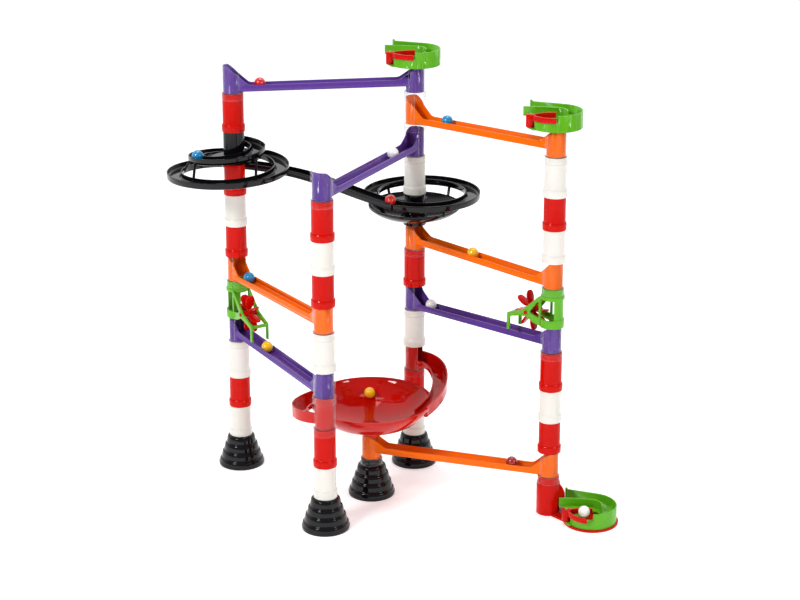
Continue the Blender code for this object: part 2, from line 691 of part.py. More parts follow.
def base_with_tray():
    """Bottom tube of tower D, its side chute, and the tray that the catcher stands on."""
    name = "base_d"
    at = on_axis("d")
    floor = 14.5 * MM
    tube = add_object(name, cylinder_mesh(name, COLLAR_R, 0, PITCH - GAP), at)
    spigot = cylinder_mesh(name + "_spigot", TUBE_R, PITCH - 1 * MM, PITCH + SPIGOT_H)
    upright = Matrix.Rotation(math.pi / 2, 4, "X")
    chute_turn = math.radians(12)
    chute_end = 18.5 * MM
    outline = [(0, floor - 1.6 * MM), (chute_end, floor - 1.6 * MM), (chute_end, 27 * MM), (13 * MM, 38 * MM),
               (0, 38 * MM)]
    chute = add_object(name + "_chute", plate(name + "_chute", outline, RAMP_OUTER, upright), at, chute_turn)
    disc = cylinder_mesh(name + "_disc", TRAY_R, 0, TRAY_H, 28)
    boss = cylinder_mesh(name + "_boss", TUBE_R, 0.5 * MM, TRAY_H + SPIGOT_H)
    neck_outline = [(0, 9 * MM), (CATCHER_X, CATCHER_Y + TRAY_R - 1 * MM), (CATCHER_X - 8 * MM, CATCHER_Y - 31 * MM),
                    (0, -11 * MM)]
    neck = plate(name + "_neck", neck_outline, TRAY_H - 0.2 * MM, Matrix.Translation((0, 0, TRAY_H / 2)))
    disc_at = at + Vector((CATCHER_X, CATCHER_Y, 0))
    combine(tube, "UNION", chute, add_object(name + "_spigot", spigot, at), add_object(name + "_disc", disc, disc_at),
            add_object(name + "_neck", neck, at),
            add_object(name + "_boss", boss, disc_at + Vector((0, TURN_HOLE_Y, 0))))
    bore = cylinder_mesh(name + "_bore", BORE_R, floor, 2 * PITCH)
    half = RAMP_INNER / 2
    gate = box_mesh(name + "_gate", (0, -half, floor), (30 * MM, half, 35 * MM))
    open_top = box_mesh(name + "_top", (14.6 * MM, -half, floor), (30 * MM, half, 60 * MM))
    combine(tube, "DIFFERENCE", add_object(name + "_bore", bore, at), add_object(name + "_gate", gate, at, chute_turn),
            add_object(name + "_top", open_top, at, chute_turn))
    return finish(tube, name, RED, 0.25)


# ---------------------------------------------------------------- paddle wheels and their brackets

FRAME_GAP = 19.6 * MM
FRAME_T = 2 * MM


def side_frame(name):
    """Upright side plate with a window and an axle hole, as a flat curve with three closed lines."""
    outer = [(9.2, 0.7), (20, 2.4), (31, 7.6), (56, 1), (56, -15), (60, -15), (60, 6), (36, 14.4), (11.5, 37), (6.8, 38.8),
             (6.8, 34.5), (8.6, 34.5), (8.6, 9.2), (9.2, 8.6)]
    window = [(11.4, 10), (24.5, 13), (11.4, 31.5)]
    curve = bpy.data.curves.new(name, "CURVE")
    curve.dimensions = "2D"
    curve.fill_mode = "BOTH"
    curve.extrude = FRAME_T / 2
    closed_line(curve, [(x * MM, z * MM) for x, z in outer])
    closed_line(curve, [(x * MM, z * MM) for x, z in window])
    closed_line(curve, arc((WHEEL_OUT, WHEEL_UP), AXLE_BORE_R, 0, 324, 9))
    return mesh_from_curve(curve, Matrix.Rotation(math.pi / 2, 4, "X"))


def bracket(name, upper, lower, level):
    """Open stacked piece: two collars, a back post, and two side frames that carry the wheel's axle."""
    direction = ramp_direction(upper, lower)
    at = on_axis(upper, level)
    shaft = lathe(name, [(TUBE_R, PITCH + SPIGOT_H), (TUBE_R, PITCH - GAP), (COLLAR_R, PITCH - 1.5 * MM),
                         (COLLAR_R, 35 * MM), (TUBE_R, 34 * MM), (TUBE_R, 10.5 * MM), (COLLAR_R, 9.7 * MM),
                         (COLLAR_R, 0), (SOCKET_R, 0), (SOCKET_R, COLLAR_H), (BORE_R, COLLAR_H),
                         (BORE_R, PITCH + SPIGOT_H)], at)
    gap = box_mesh(name + "_gap", (-9.5 * MM, -30 * MM, 9.75 * MM), (30 * MM, 30 * MM, 34.4 * MM))
    slot = box_mesh(name + "_slot", (0, -8.4 * MM, -PITCH), (30 * MM, 8.4 * MM, 12 * MM))
    combine(shaft, "DIFFERENCE", add_object(name + "_gap", gap, at, direction),
            add_object(name + "_slot", slot, at, direction))
    across = Vector((-math.sin(direction), math.cos(direction), 0))
    for side in (-1, 1):
        place = at + across * side * (FRAME_GAP + FRAME_T) / 2
        combine(shaft, "UNION", add_object(name + "_frame", side_frame(name + "_frame"), place, direction))
    half = FRAME_GAP / 2 + 0.8 * FRAME_T
    bar = box_mesh(name + "_bar", (57 * MM, -half, 1.8 * MM), (59.7 * MM, half, 5.4 * MM))
    combine(shaft, "UNION", add_object(name + "_bar", bar, at, direction))
    return finish(shaft, name, GREEN, 0.3)


def wheel_centre(upper, lower, level):
    direction = ramp_direction(upper, lower)
    return on_axis(upper, level) + Vector((math.cos(direction), math.sin(direction), 0)) * WHEEL_OUT + Vector(
        (0, 0, WHEEL_UP))


def lay_along_axle():
    """Turns a shape made about Z so that its axis lies along the local Y."""
    return Matrix.Rotation(-math.pi / 2, 4, "X")


def paddle_wheel(name, upper, lower, level):
    """Hub with rounded paddles; its origin is the middle of its axle."""
    direction = ramp_direction(upper, lower)
    at = wheel_centre(upper, lower, level)
    hub_mesh = cylinder_mesh(name, 4 * MM, -8.6 * MM, 8.6 * MM, 10)
    hub_mesh.transform(lay_along_axle())
    hub = add_object(name, hub_mesh, at, direction)
    neck = 2.6 * MM
    blade = 6 * MM
    quarter = [(neck, 0), (neck, 0.32 * WHEEL_R), (0.87 * blade, 0.44 * WHEEL_R), (blade, 0.64 * WHEEL_R),
               (0.87 * blade, 0.84 * WHEEL_R), (neck, 0.975 * WHEEL_R)]
    half = quarter + [(-x, y) for x, y in reversed(quarter[1:])]
    outline = half + [(-x, -y) for x, y in half]
    pairs = PADDLES // 2
    for i in range(pairs):
        spin = Matrix.Rotation(math.radians(11) + math.pi * i / pairs, 4, "Y")
        stand = Matrix.Rotation(math.pi / 2, 4, "Z") @ Matrix.Rotation(math.pi / 2, 4, "X")
        mesh = plate(name + "_paddle", outline, 1.5 * MM, spin @ stand)
        combine(hub, "UNION", add_object(name + "_paddle", mesh, at, direction))
    bore_mesh = cylinder_mesh(name + "_bore", AXLE_BORE_R, -PITCH, PITCH, 10)
    bore_mesh.transform(lay_along_axle())
    combine(hub, "DIFFERENCE", add_object(name + "_bore", bore_mesh, at, direction))
    return finish(hub, name, RED, 0.3)


def axle_pin(name, upper, lower, level):
    direction = ramp_direction(upper, lower)
    at = wheel_centre(upper, lower, level)
    reach = FRAME_GAP / 2 + FRAME_T
    pin_mesh = cylinder_mesh(name, AXLE_R, -reach - 1 * MM, reach + 1 * MM, 10)
    pin_mesh.transform(lay_along_axle())
    pin = add_object(name, pin_mesh, at, direction)
    for low, high in ((-reach - 1.6 * MM, -reach - GAP), (reach + GAP, reach + 1.6 * MM)):
        head = cylinder_mesh(name + "_head", 2.4 * MM, low, high, 10)
        head.transform(lay_along_axle())
        combine(pin, "UNION", add_object(name + "_head", head, at, direction))
    return finish(pin, name, RED, 0.3)


# ---------------------------------------------------------------- marbles


def marble(name, at, colour):
    bm = bmesh.new()
    bmesh.ops.create_uvsphere(bm, u_segments=14, v_segments=9, radius=MARBLE_R)
    mesh = bpy.data.meshes.new(name)
    bm.to_mesh(mesh)
    bm.free()
    return finish(add_object(name, mesh, at), name, colour, 0.12)


def on_ramp(upper, lower, level, share):
    """Centre of a marble on a ramp, at a share of the span from its upper tower."""
    place = TOWER[upper].lerp(TOWER[lower], share)
    height = level * PITCH + ramp_floor(share * SPAN) + RAMP_FLOOR + MARBLE_R + GAP
    return Vector((place.x, place.y, height))


def in_funnel(radius, angle, height):
    return Vector((*(TOWER["e"] + ray(angle).xy * radius), height))


# ---------------------------------------------------------------- the assembly


def build():
    for tower in "abce":
        foot(tower)
    base_with_tray()
    runs = [("a", 1, 3, WHITE), ("a", 7, 3, RED), ("a", 11, 1, RED), ("b", 1, 2, WHITE), ("b", 5, 1, WHITE),
            ("b", 7, 3, RED), ("c", 1, 2, WHITE), ("c", 4, 1, WHITE), ("c", 6, 1, RED), ("c", 9, 1, WHITE),
            ("d", 2, 3, RED), ("d", 8, 3, WHITE)]
    for tower, level, count, colour in runs:
        tube_run(tower, level, count, colour)
    ramps = [("ramp_c12_a12", "c", "a", 12, PURPLE), ("ramp_d11_c11", "d", "c", 11, ORANGE),
             ("ramp_c10_b10", "c", "b", 10, PURPLE), ("ramp_c7_d7", "c", "d", 7, ORANGE),
             ("ramp_d5_c5", "d", "c", 5, PURPLE), ("ramp_b6_a6", "b", "a", 6, ORANGE),
             ("ramp_a4_b4", "a", "b", 4, PURPLE), ("ramp_e1_d1", "e", "d", 1, ORANGE)]
    for name, upper, lower, level, colour in ramps:
        ramp(name, upper, lower, level, colour)
    to = ramp_direction
    sleeves = [("a", 12, [to("a", "c")]), ("a", 6, [to("a", "b")]), ("a", 4, [to("a", "b")]),
               ("b", 10, [to("b", "c")]), ("b", 6, [to("b", "a")]), ("b", 3, [arm_direction(-1), to("b", "a")]),
               ("c", 10, [to("c", "b"), to("c", "d"), to("c", "a")]), ("c", 7, [to("c", "d")]),
               ("c", 5, [to("c", "d")]), ("c", 3, [arm_direction(1)]), ("d", 11, [to("d", "c")]),
               ("d", 7, [to("d", "c")]), ("d", 5, [to("d", "c")]), ("d", 1, [to("d", "e")]),
               ("e", 1, [to("e", "d")])]
    for tower, level, openings in sleeves:
        sleeve_run(tower, level, openings)
    spiral()
    link_track()
    dish()
    funnel()
    hole_to_centre = Vector((0, -TURN_HOLE_Y))
    trays = [("start_tray_c", TOWER["c"] + hole_to_centre, 13 * PITCH, 0.0),
             ("start_tray_d", TOWER["d"] + hole_to_centre, 12 * PITCH, 0.0),
             ("catch_tray", TOWER["d"] + Vector((CATCHER_X, CATCHER_Y)), TRAY_H + GAP, math.radians(-14))]
    for name, centre, low, turn in trays:
        turn_tray(name, centre, low)
        latch(name.replace("tray", "latch"), centre, low, turn)
    for name, upper, lower, level in (("d6", "d", "c", 6), ("a5", "a", "b", 5)):
        bracket("bracket_" + name, upper, lower, level)
        paddle_wheel("wheel_" + name, upper, lower, level)
        axle_pin("axle_" + name, upper, lower, level)
    marble("marble_c12", on_ramp("c", "a", 12, 0.85), RED)
    marble("marble_d11", on_ramp("d", "c", 11, 0.76), BLUE)
    marble("marble_c7", on_ramp("c", "d", 7, 0.435), YELLOW)
    marble("marble_funnel", in_funnel(54 * MM, 93, 2 * PITCH + 30.9 * MM), YELLOW)


build()
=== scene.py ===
import math

import bpy
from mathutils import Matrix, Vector


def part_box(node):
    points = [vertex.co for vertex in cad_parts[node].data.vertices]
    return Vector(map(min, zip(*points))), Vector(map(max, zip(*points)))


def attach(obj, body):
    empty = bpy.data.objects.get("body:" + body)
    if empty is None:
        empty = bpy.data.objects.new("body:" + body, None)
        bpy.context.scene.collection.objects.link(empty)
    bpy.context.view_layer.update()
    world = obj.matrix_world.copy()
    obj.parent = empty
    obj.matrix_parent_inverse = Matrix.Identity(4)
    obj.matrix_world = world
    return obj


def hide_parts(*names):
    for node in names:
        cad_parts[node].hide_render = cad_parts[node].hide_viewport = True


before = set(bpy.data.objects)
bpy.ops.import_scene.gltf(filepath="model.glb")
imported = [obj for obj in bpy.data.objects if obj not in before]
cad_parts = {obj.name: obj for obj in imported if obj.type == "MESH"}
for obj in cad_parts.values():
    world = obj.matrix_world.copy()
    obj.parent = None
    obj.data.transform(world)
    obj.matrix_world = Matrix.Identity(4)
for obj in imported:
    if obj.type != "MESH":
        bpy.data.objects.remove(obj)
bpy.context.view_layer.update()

# ---------------------------------------------------------------- sizes in metres

MM = 0.001

# Stacking pieces
PITCH = 40 * MM
TUBE_R = 13 * MM
BORE_R = 11.6 * MM
COLLAR_R = 14.3 * MM
COLLAR_H = 8.2 * MM
SPIGOT_H = 7.7 * MM
SOCKET_R = 13.3 * MM
SHELL_R = 11.3 * MM
SHELL_BORE = 10 * MM
SHELL_REACH = PITCH + 7 * MM
MARBLE_R = 7 * MM
STEPS = 56

# Ramps
RAMP_W = 18.6 * MM
RAMP_INSIDE = 16 * MM
RAMP_FLOOR = 1.5 * MM
RAMP_SIDE = 8.6 * MM
RAMP_LOW = 8.6 * MM
RAMP_BASE = 9.9 * MM
RAMP_RISE = 6.5 * MM
SHELL_TOP = PITCH + 2 * MM
GUSSET_FIRST = -5.4 * MM
GUSSET_LAST = 20.5 * MM

# Swept channels
CHANNEL_W = 19 * MM
CHANNEL_H = 8 * MM
CHANNEL_WALL = 1.6 * MM

# Turning trays
TURN_R = 0.78 * PITCH
TURN_H = 20 * MM
TURN_WALL = 1.6 * MM
TURN_FLOOR = 8.5 * MM
TURN_PLATE = 1.6 * MM
TURN_HOLE = Vector((0, -0.3 * PITCH, 0))
CATCH_LIFT = 2.7 * MM
CATCHER = Vector((1.24 * PITCH, -0.68 * PITCH, 0))
PIVOT = Vector((-0.75 * PITCH, -0.22 * PITCH, 0))

# Paddle wheels
WHEEL_OUT = 31 * MM
WHEEL_UP = 12.5 * MM
WHEEL_R = 25 * MM
FRAME_GAP = 19.6 * MM
FRAME_T = 2 * MM

# Camera
EYE = Vector((35.3, -2267.6, 1049.2)) * MM
LOOK_DOWN = 16.98
LENS = 89.5
LENS_SHIFT = -0.1028


def middle_of(node):
    low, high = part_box(node)
    return Vector(((low[0] + high[0]) / 2, (low[1] + high[1]) / 2, 0))


TOWER = {"a": middle_of("foot_a"), "b": middle_of("foot_b"), "c": middle_of("foot_c"), "e": middle_of("foot_e"),
         "d": middle_of("tubes_d2_to_d4")}
SPAN = (TOWER["a"] - TOWER["c"]).length


def on_axis(tower, level=0.0):
    return TOWER[tower] + Vector((0, 0, level * PITCH))


def heading(start, end):
    run = TOWER[end] - TOWER[start]
    return math.atan2(run.y, run.x)


def ray(degrees):
    return Vector((math.cos(math.radians(degrees)), math.sin(math.radians(degrees)), 0))


# ---------------------------------------------------------------- materials


class Wire:
    """A socket that can be used in sums."""

    def __init__(self, paint, socket):
        self.paint = paint
        self.socket = socket

    def sum(self, operation, first, second):
        return self.paint.add("Math", {"operation": operation}, {0: first, 1: second})

    def __add__(self, other):
        return self.sum("ADD", self, other)

    def __sub__(self, other):
        return self.sum("SUBTRACT", self, other)

    def __rsub__(self, other):
        return self.sum("SUBTRACT", other, self)

    def __mul__(self, other):
        return self.sum("MULTIPLY", self, other)

    def __pow__(self, other):
        return self.sum("POWER", self, other)

    __radd__ = __add__
    __rmul__ = __mul__


class Paint:
    """A material that is being put together from nodes."""

    def __init__(self, name):
        self.material = bpy.data.materials.new(name)
        self.material.use_nodes = True
        self.nodes = self.material.node_tree.nodes
        self.links = self.material.node_tree.links
        self.shader = self.nodes["Principled BSDF"]

    def set(self, socket, value):
        if isinstance(value, Wire):
            self.links.new(value.socket, socket)
        else:
            socket.default_value = value

    def add(self, kind, settings, sockets, output=0):
        node = self.nodes.new("ShaderNode" + kind)
        for key, value in settings.items():
            if key == "stops":
                for stop, (place, tone) in zip(node.color_ramp.elements, value):
                    stop.position = place
                    stop.color = (tone, tone, tone, 1)
            else:
                setattr(node, key, value)
        for key, value in sockets.items():
            self.set(node.inputs[key], value)
        return Wire(self, node.outputs[output])

    def finish(self, **inputs):
        for key, value in inputs.items():
            self.set(self.shader.inputs[key.replace("_", " ")], value)
        return self.material


def shade(colour, factor):
    return (*[min(1, channel * factor) for channel in colour], 1)


def moulded(name, colour, roughness, cloud=0.06, flow=30, wear=0.07, grain=0.028, **constants):
    """Injection-moulded plastic: cloudy pigment, flow lines, fine orange peel, rubbed edges and scuffs."""
    paint = Paint(name)
    place = paint.add("TexCoord", {}, {}, "Object")
    drift = paint.add("TexNoise", {}, {"Vector": place, "Scale": 21.0, "Detail": 3.0, "Roughness": 0.55})
    stretched = paint.add("Mapping", {}, {"Vector": place, "Scale": (1.0, 1.0, 6.0),
                                           "Rotation": (0.2, 0.1, 0.3)})
    lines = paint.add("TexNoise", {}, {"Vector": stretched, "Scale": float(flow), "Detail": 4.0,
                                         "Distortion": 1.6})
    peel = paint.add("TexNoise", {}, {"Vector": place, "Scale": 650.0, "Detail": 2.0})
    scratch_map = paint.add("Mapping", {}, {"Vector": place, "Scale": (1.0, 9.0, 1.0),
                                             "Rotation": (0.7, 0.4, 1.1)})
    scratches = paint.add("TexNoise", {}, {"Vector": scratch_map, "Scale": 240.0, "Detail": 5.0,
                                             "Roughness": 0.7})
    scuffs = paint.add("ValToRGB", {"stops": [(0.60, 0), (0.74, 1)]}, {"Fac": scratches})
    patches = paint.add("ValToRGB", {"stops": [(0.48, 0), (0.70, 1)]}, {"Fac": drift})
    rounded = paint.add("Bevel", {"samples": 4}, {"Radius": 0.7 * MM})
    facing = paint.add("NewGeometry", {}, {}, "Normal")
    agree = paint.add("VectorMath", {"operation": "DOT_PRODUCT"}, {0: rounded, 1: facing}, "Value")
    edge = paint.add("ValToRGB", {"stops": [(0.02, 0), (0.28, 1)]}, {"Fac": 1 - agree})
    scuffed = scuffs * patches
    pigment = paint.add("Mix", {"data_type": "RGBA"}, {0: drift * 0.6 + lines * 0.4,
                                                       6: shade(colour, 1 - cloud),
                                                       7: shade(colour, 1 + cloud)}, 2)
    pale = tuple(channel + (1 - channel) * 0.35 for channel in colour)
    worn = paint.add("Mix", {"data_type": "RGBA"}, {0: edge * (drift * wear * 2) + scuffed * (0.3 * wear),
                                                    6: pigment, 7: (*pale, 1)}, 2)
    height = peel * 0.35 + lines * 0.25 + scuffed * -0.2
    relief = paint.add("Bump", {}, {"Height": height, "Strength": grain, "Distance": 0.4 * MM})
    rough = lines * 0.08 + edge * 0.10 + scuffed * 0.16 + (roughness - 0.04)
    return paint.finish(Base_Color=worn, Roughness=rough, Normal=relief, IOR=1.5, **constants)


def clear_plastic(name):
    """Thin clear mouldings: nearly invisible face on; a painted sheen makes them paler and denser where the
    wall is seen edge on, and painted highlights whiten the rounded edges.
    """
    paint = Paint(name)
    place = paint.add("TexCoord", {}, {}, "Object")
    drift = paint.add("TexNoise", {}, {"Vector": place, "Scale": 40.0, "Detail": 3.0})
    peel = paint.add("TexNoise", {}, {"Vector": place, "Scale": 420.0, "Detail": 3.0})
    scratch_map = paint.add("Mapping", {}, {"Vector": place, "Scale": (8.0, 1.0, 1.0),
                                             "Rotation": (0.5, 0.2, 0.9)})
    scratches = paint.add("TexNoise", {}, {"Vector": scratch_map, "Scale": 180.0, "Detail": 4.0})
    scuffs = paint.add("ValToRGB", {"stops": [(0.60, 0), (0.72, 1)]}, {"Fac": scratches})
    rim = paint.add("LayerWeight", {}, {"Blend": 0.5}, "Facing")
    # the rounded edges, which get painted highlights through the alpha below
    rounded = paint.add("Bevel", {"samples": 4}, {"Radius": 0.5 * MM})
    facing = paint.add("NewGeometry", {}, {}, "Normal")
    agree = paint.add("VectorMath", {"operation": "DOT_PRODUCT"}, {0: rounded, 1: facing}, "Value")
    edge = paint.add("ValToRGB", {"stops": [(0.01, 0), (0.20, 1)]}, {"Fac": 1 - agree})
    # painted sheen: the base colour turns paler where the wall is seen edge on
    painted_sheen_tint = paint.add("Mix", {"data_type": "RGBA"}, {0: rim ** 3, 6: (0.60, 0.60, 0.61, 1),
                                                   7: (0.70, 0.70, 0.72, 1)}, 2)
    # painted sheen and painted highlights: alpha rises where the wall is seen edge on and along the rounded
    # edges, so the pale base colour shows there as whitish rims; the scuffs are real marks
    painted_sheen_and_scuff_alpha = rim ** 3 * 0.40 + edge * 0.42 + scuffs * 0.02 + drift * 0.012 + 0.008
    relief = paint.add("Bump", {}, {"Height": peel * 0.4 + drift * 0.8, "Strength": 0.12, "Distance": 0.5 * MM})
    rough = scuffs * 0.2 + drift * 0.05 + 0.05
    return paint.finish(Base_Color=painted_sheen_tint, Roughness=rough, Alpha=painted_sheen_and_scuff_alpha, Normal=relief, IOR=1.57)


def polished(name, colour):
    """Marble: swirled pigment under a hard shine, with a few chips and smears."""
    paint = Paint(name)
    place = paint.add("TexCoord", {}, {}, "Object")
    swirl = paint.add("TexNoise", {}, {"Vector": place, "Scale": 90.0, "Detail": 3.0, "Distortion": 2.5})
    smear = paint.add("TexNoise", {}, {"Vector": place, "Scale": 260.0, "Detail": 4.0})
    chips = paint.add("ValToRGB", {"stops": [(0.66, 0), (0.74, 1)]}, {"Fac": smear})
    tone = paint.add("Mix", {"data_type": "RGBA"}, {0: swirl, 6: shade(colour, 0.8), 7: shade(colour, 1.2)}, 2)
    height = chips * -1.0 + swirl * 0.2
    relief = paint.add("Bump", {}, {"Height": height, "Strength": 0.08, "Distance": 0.2 * MM})
    return paint.finish(Base_Color=tone, Roughness=smear * 0.12 + chips * 0.2 + 0.06, Normal=relief,
                        Coat_Weight=0.5, IOR=1.52)


FINISH = {
    "red": moulded("red_gloss", (0.54, 0.004, 0.0012), 0.09, Specular_IOR_Level=0.11),
    "white": moulded("milky_white", (0.76, 0.72, 0.665), 0.26, cloud=0.03, wear=0.03, Subsurface_Weight=0.25,
                     Subsurface_Scale=0.004, Specular_IOR_Level=0.35),
    "black": moulded("black_gloss", (0.003, 0.003, 0.004), 0.06, cloud=0.25, wear=0.02, grain=0.018,
                     Specular_IOR_Level=0.28),
    "purple": moulded("purple_gloss", (0.095, 0.036, 0.255), 0.14, Specular_IOR_Level=0.3),
    "orange": moulded("orange_gloss", (0.84, 0.135, 0.001), 0.13, Specular_IOR_Level=0.13),
    "green": moulded("green_gloss", (0.105, 0.39, 0.010), 0.16, Specular_IOR_Level=0.25),
    "bowl": moulded("polished_red", (0.50, 0.004, 0.0012), 0.06, grain=0.010, Specular_IOR_Level=0.3),
    "clear": clear_plastic("clear_moulding"),
    "marble_red": polished("marble_red", (0.58, 0.012, 0.008)),
    "marble_dark": polished("marble_dark_red", (0.33, 0.008, 0.006)),
    "marble_blue": polished("marble_blue", (0.003, 0.22, 0.48)),
    "marble_white": polished("marble_white", (0.82, 0.82, 0.80)),
    "marble_yellow": polished("marble_yellow", (0.93, 0.50, 0.004)),
}
SLOTS = {"bowl": "red_plastic", "marble_red": "red_marble", "marble_dark": "red_marble",
         "marble_blue": "blue_marble", "marble_white": "white_plastic", "marble_yellow": "yellow_marble"}


# ---------------------------------------------------------------- bench tools


def pick_none():
    bpy.ops.object.select_all(action="DESELECT")


def pick(*pieces):
    pick_none()
    for piece in pieces:
        piece.select_set(True)
    bpy.context.view_layer.objects.active = pieces[0]


def named(name):
    piece = bpy.context.object
    piece.name = name
    piece.data.name = name
    return piece


def edit(piece):
    pick(piece)
    bpy.ops.object.mode_set(mode="EDIT")
    bpy.ops.mesh.select_all(action="SELECT")


def done():
    bpy.ops.object.mode_set(mode="OBJECT")


def place(piece, at=(0, 0, 0), turn=0.0):
    """Turns a piece about the upright axis, moves it and settles both in its mesh."""
    pick(piece)
    piece.rotation_euler = (0, 0, turn)
    piece.location = at
    bpy.ops.object.transform_apply(location=True, rotation=True, scale=True)
    return piece


def apply_all(piece):
    pick(piece)
    for change in list(piece.modifiers):
        bpy.ops.object.modifier_apply(modifier=change.name)
    return piece


def thread(name, points):
    """One vertex pushed out along a line of points."""
    pick_none()
    bpy.ops.mesh.primitive_plane_add(size=MM)
    piece = named(name)
    edit(piece)
    bpy.ops.mesh.merge(type="CENTER")
    bpy.ops.transform.translate(value=points[0])
    for start, end in zip(points, points[1:]):
        bpy.ops.mesh.extrude_region_move(TRANSFORM_OT_translate={"value": Vector(end) - Vector(start)})
    done()
    return piece


def spun(name, profile, steps=STEPS):
    """A closed profile of (radius, height) points, spun once round."""
    points = [Vector((radius, 0, height)) for radius, height in profile]
    piece = thread(name, points + points[:1])
    edit(piece)
    bpy.ops.mesh.spin(steps=steps, angle=math.tau, center=(0, 0, 0), axis=(0, 0, 1))
    bpy.ops.mesh.select_all(action="SELECT")
    bpy.ops.mesh.remove_doubles(threshold=1e-6)
    bpy.ops.mesh.normals_make_consistent(inside=False)
    done()
    return piece


def slab(name, outline, thickness, upright=False):
    """A flat outline given a thickness, evenly to both sides; lying down, or standing along X."""
    points = [Vector((x, 0, y)) if upright else Vector((x, y, 0)) for x, y in outline]
    piece = thread(name, points)
    half = Vector((0, thickness / 2, 0)) if upright else Vector((0, 0, thickness / 2))
    edit(piece)
    bpy.ops.mesh.edge_face_add()
    bpy.ops.transform.translate(value=-half)
    bpy.ops.mesh.extrude_region_move(TRANSFORM_OT_translate={"value": 2 * half})
    bpy.ops.mesh.select_all(action="SELECT")
    bpy.ops.mesh.normals_make_consistent(inside=False)
    done()
    return piece


def line(name, points, closed=False):
    pick_none()
    bpy.ops.curve.primitive_nurbs_path_add()
    piece = named(name)
    curve = piece.data
    curve.splines.clear()
    spline = curve.splines.new("POLY")
    spline.points.add(len(points) - 1)
    for knot, point in zip(spline.points, points):
        knot.co = (*point, 1)
    spline.use_cyclic_u = closed
    return piece


def swept(name, points, outline):
    """An upright outline carried along a line; its x points to the right of the way and its y up."""
    section = line(name + "_section", [(x, y, 0) for x, y in outline], closed=True)
    section.data.dimensions = "2D"
    piece = line(name, points)
    curve = piece.data
    curve.dimensions = "3D"
    curve.twist_mode = "Z_UP"
    curve.bevel_mode = "OBJECT"
    curve.bevel_object = section
    curve.use_fill_caps = True
    pick(piece)
    bpy.ops.object.convert(target="MESH")
    edit(piece)
    bpy.ops.mesh.remove_doubles(threshold=1e-6)
    bpy.ops.mesh.normals_make_consistent(inside=False)
    done()
    bpy.data.objects.remove(section)
    return piece


def rod(name, radius, low, high, steps=STEPS, end_radius=None, axis="Z"):
    """A round bar between two heights, or along Y."""
    pick_none()
    bpy.ops.mesh.primitive_cone_add(vertices=steps, radius1=radius, radius2=end_radius or radius,
                                    depth=high - low, location=(0, 0, (low + high) / 2))
    piece = named(name)
    bpy.ops.object.transform_apply(location=True, rotation=True, scale=True)
    if axis == "Y":
        piece.rotation_euler = (-math.pi / 2, 0, 0)
        bpy.ops.object.transform_apply(location=True, rotation=True, scale=True)
    return piece


def block(name, low, high):
    low, high = Vector(low), Vector(high)
    pick_none()
    bpy.ops.mesh.primitive_cube_add(size=1, location=(low + high) / 2)
    piece = named(name)
    piece.scale = high - low
    bpy.ops.object.transform_apply(location=True, rotation=True, scale=True)
    return piece


def strut(name, low, high, radius=1.5 * MM, steps=14):
    run = Vector(high) - Vector(low)
    piece = rod(name, radius, 0, run.length, steps)
    piece.rotation_euler = run.to_track_quat("Z", "Y").to_euler()
    piece.location = low
    pick(piece)
    bpy.ops.object.transform_apply(location=True, rotation=True, scale=True)
    return piece


def shaped(piece, operation, *others):
    """Adds or cuts other shapes, which are used up."""
    for other in others:
        change = piece.modifiers.new(operation.lower(), "BOOLEAN")
        change.operation = operation
        change.solver = "EXACT"
        change.object = other
        apply_all(piece)
        bpy.data.objects.remove(other)
    return piece


def joined(piece, *others):
    return shaped(piece, "UNION", *others)


def cut(piece, *others):
    return shaped(piece, "DIFFERENCE", *others)


def eased(piece, width=0.35 * MM, segments=2, angle=32):
    """Rounds the sharp edges a little and smooths the shading."""
    change = piece.modifiers.new("ease", "BEVEL")
    change.width = width
    change.segments = segments
    change.limit_method = "ANGLE"
    change.angle_limit = math.radians(angle)
    change.harden_normals = False
    apply_all(piece)
    bpy.ops.object.shade_smooth_by_angle(angle=math.radians(angle))
    return piece


def copied(piece, name):
    pick(piece)
    bpy.ops.object.duplicate(linked=False)
    return named(name)


def fitted(piece, finish, body, *nodes):
    """Gives a finished piece its material and its body, and hides the solids that it stands for."""
    piece.data.materials.clear()
    piece.data.materials.append(FINISH[finish])
    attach(piece, body)
    SLOTS.get(finish, finish + "_plastic")
    if nodes:
        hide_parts(*nodes)
    return piece


def arc(centre, radius, start, end, steps):
    points = []
    for i in range(steps + 1):
        points.append(Vector(centre) + ray(start + (end - start) * i / steps) * radius)
    return points


def along(stops, value):
    """Value between (place, value) stops."""
    for (p0, v0), (p1, v1) in zip(stops, stops[1:]):
        if value <= p1:
            return v0 + (v1 - v0) * (value - p0) / (p1 - p0)
    return stops[-1][1]


def eased_line(points, rounds=2):
    """Cuts the corners of a line of points again and again until it is a smooth curve with the same ends."""
    for _ in range(rounds):
        finer = [points[0]]
        for start, end in zip(points, points[1:]):
            finer += [start.lerp(end, 0.25), start.lerp(end, 0.75)]
        points = finer + [points[-1]]
    return points


# ---------------------------------------------------------------- tubes, sleeves and feet


def tube_profile():
    """Inside from the socket upwards, then down the outside."""
    return [(SOCKET_R, 0), (SOCKET_R, COLLAR_H), (BORE_R, COLLAR_H), (BORE_R, PITCH + SPIGOT_H - 0.5 * MM),
            (BORE_R + 0.5 * MM, PITCH + SPIGOT_H), (TUBE_R - 0.3 * MM, PITCH + SPIGOT_H),
            (TUBE_R - 0.1 * MM, PITCH + SPIGOT_H - 1 * MM), (TUBE_R, PITCH), (TUBE_R, COLLAR_H + 1.6 * MM),
            (COLLAR_R - 0.15 * MM, COLLAR_H + 0.2 * MM), (COLLAR_R, COLLAR_H - 0.4 * MM), (COLLAR_R, 0)]


def new_tube(name):
    return eased(spun(name, tube_profile()), 0.3 * MM)


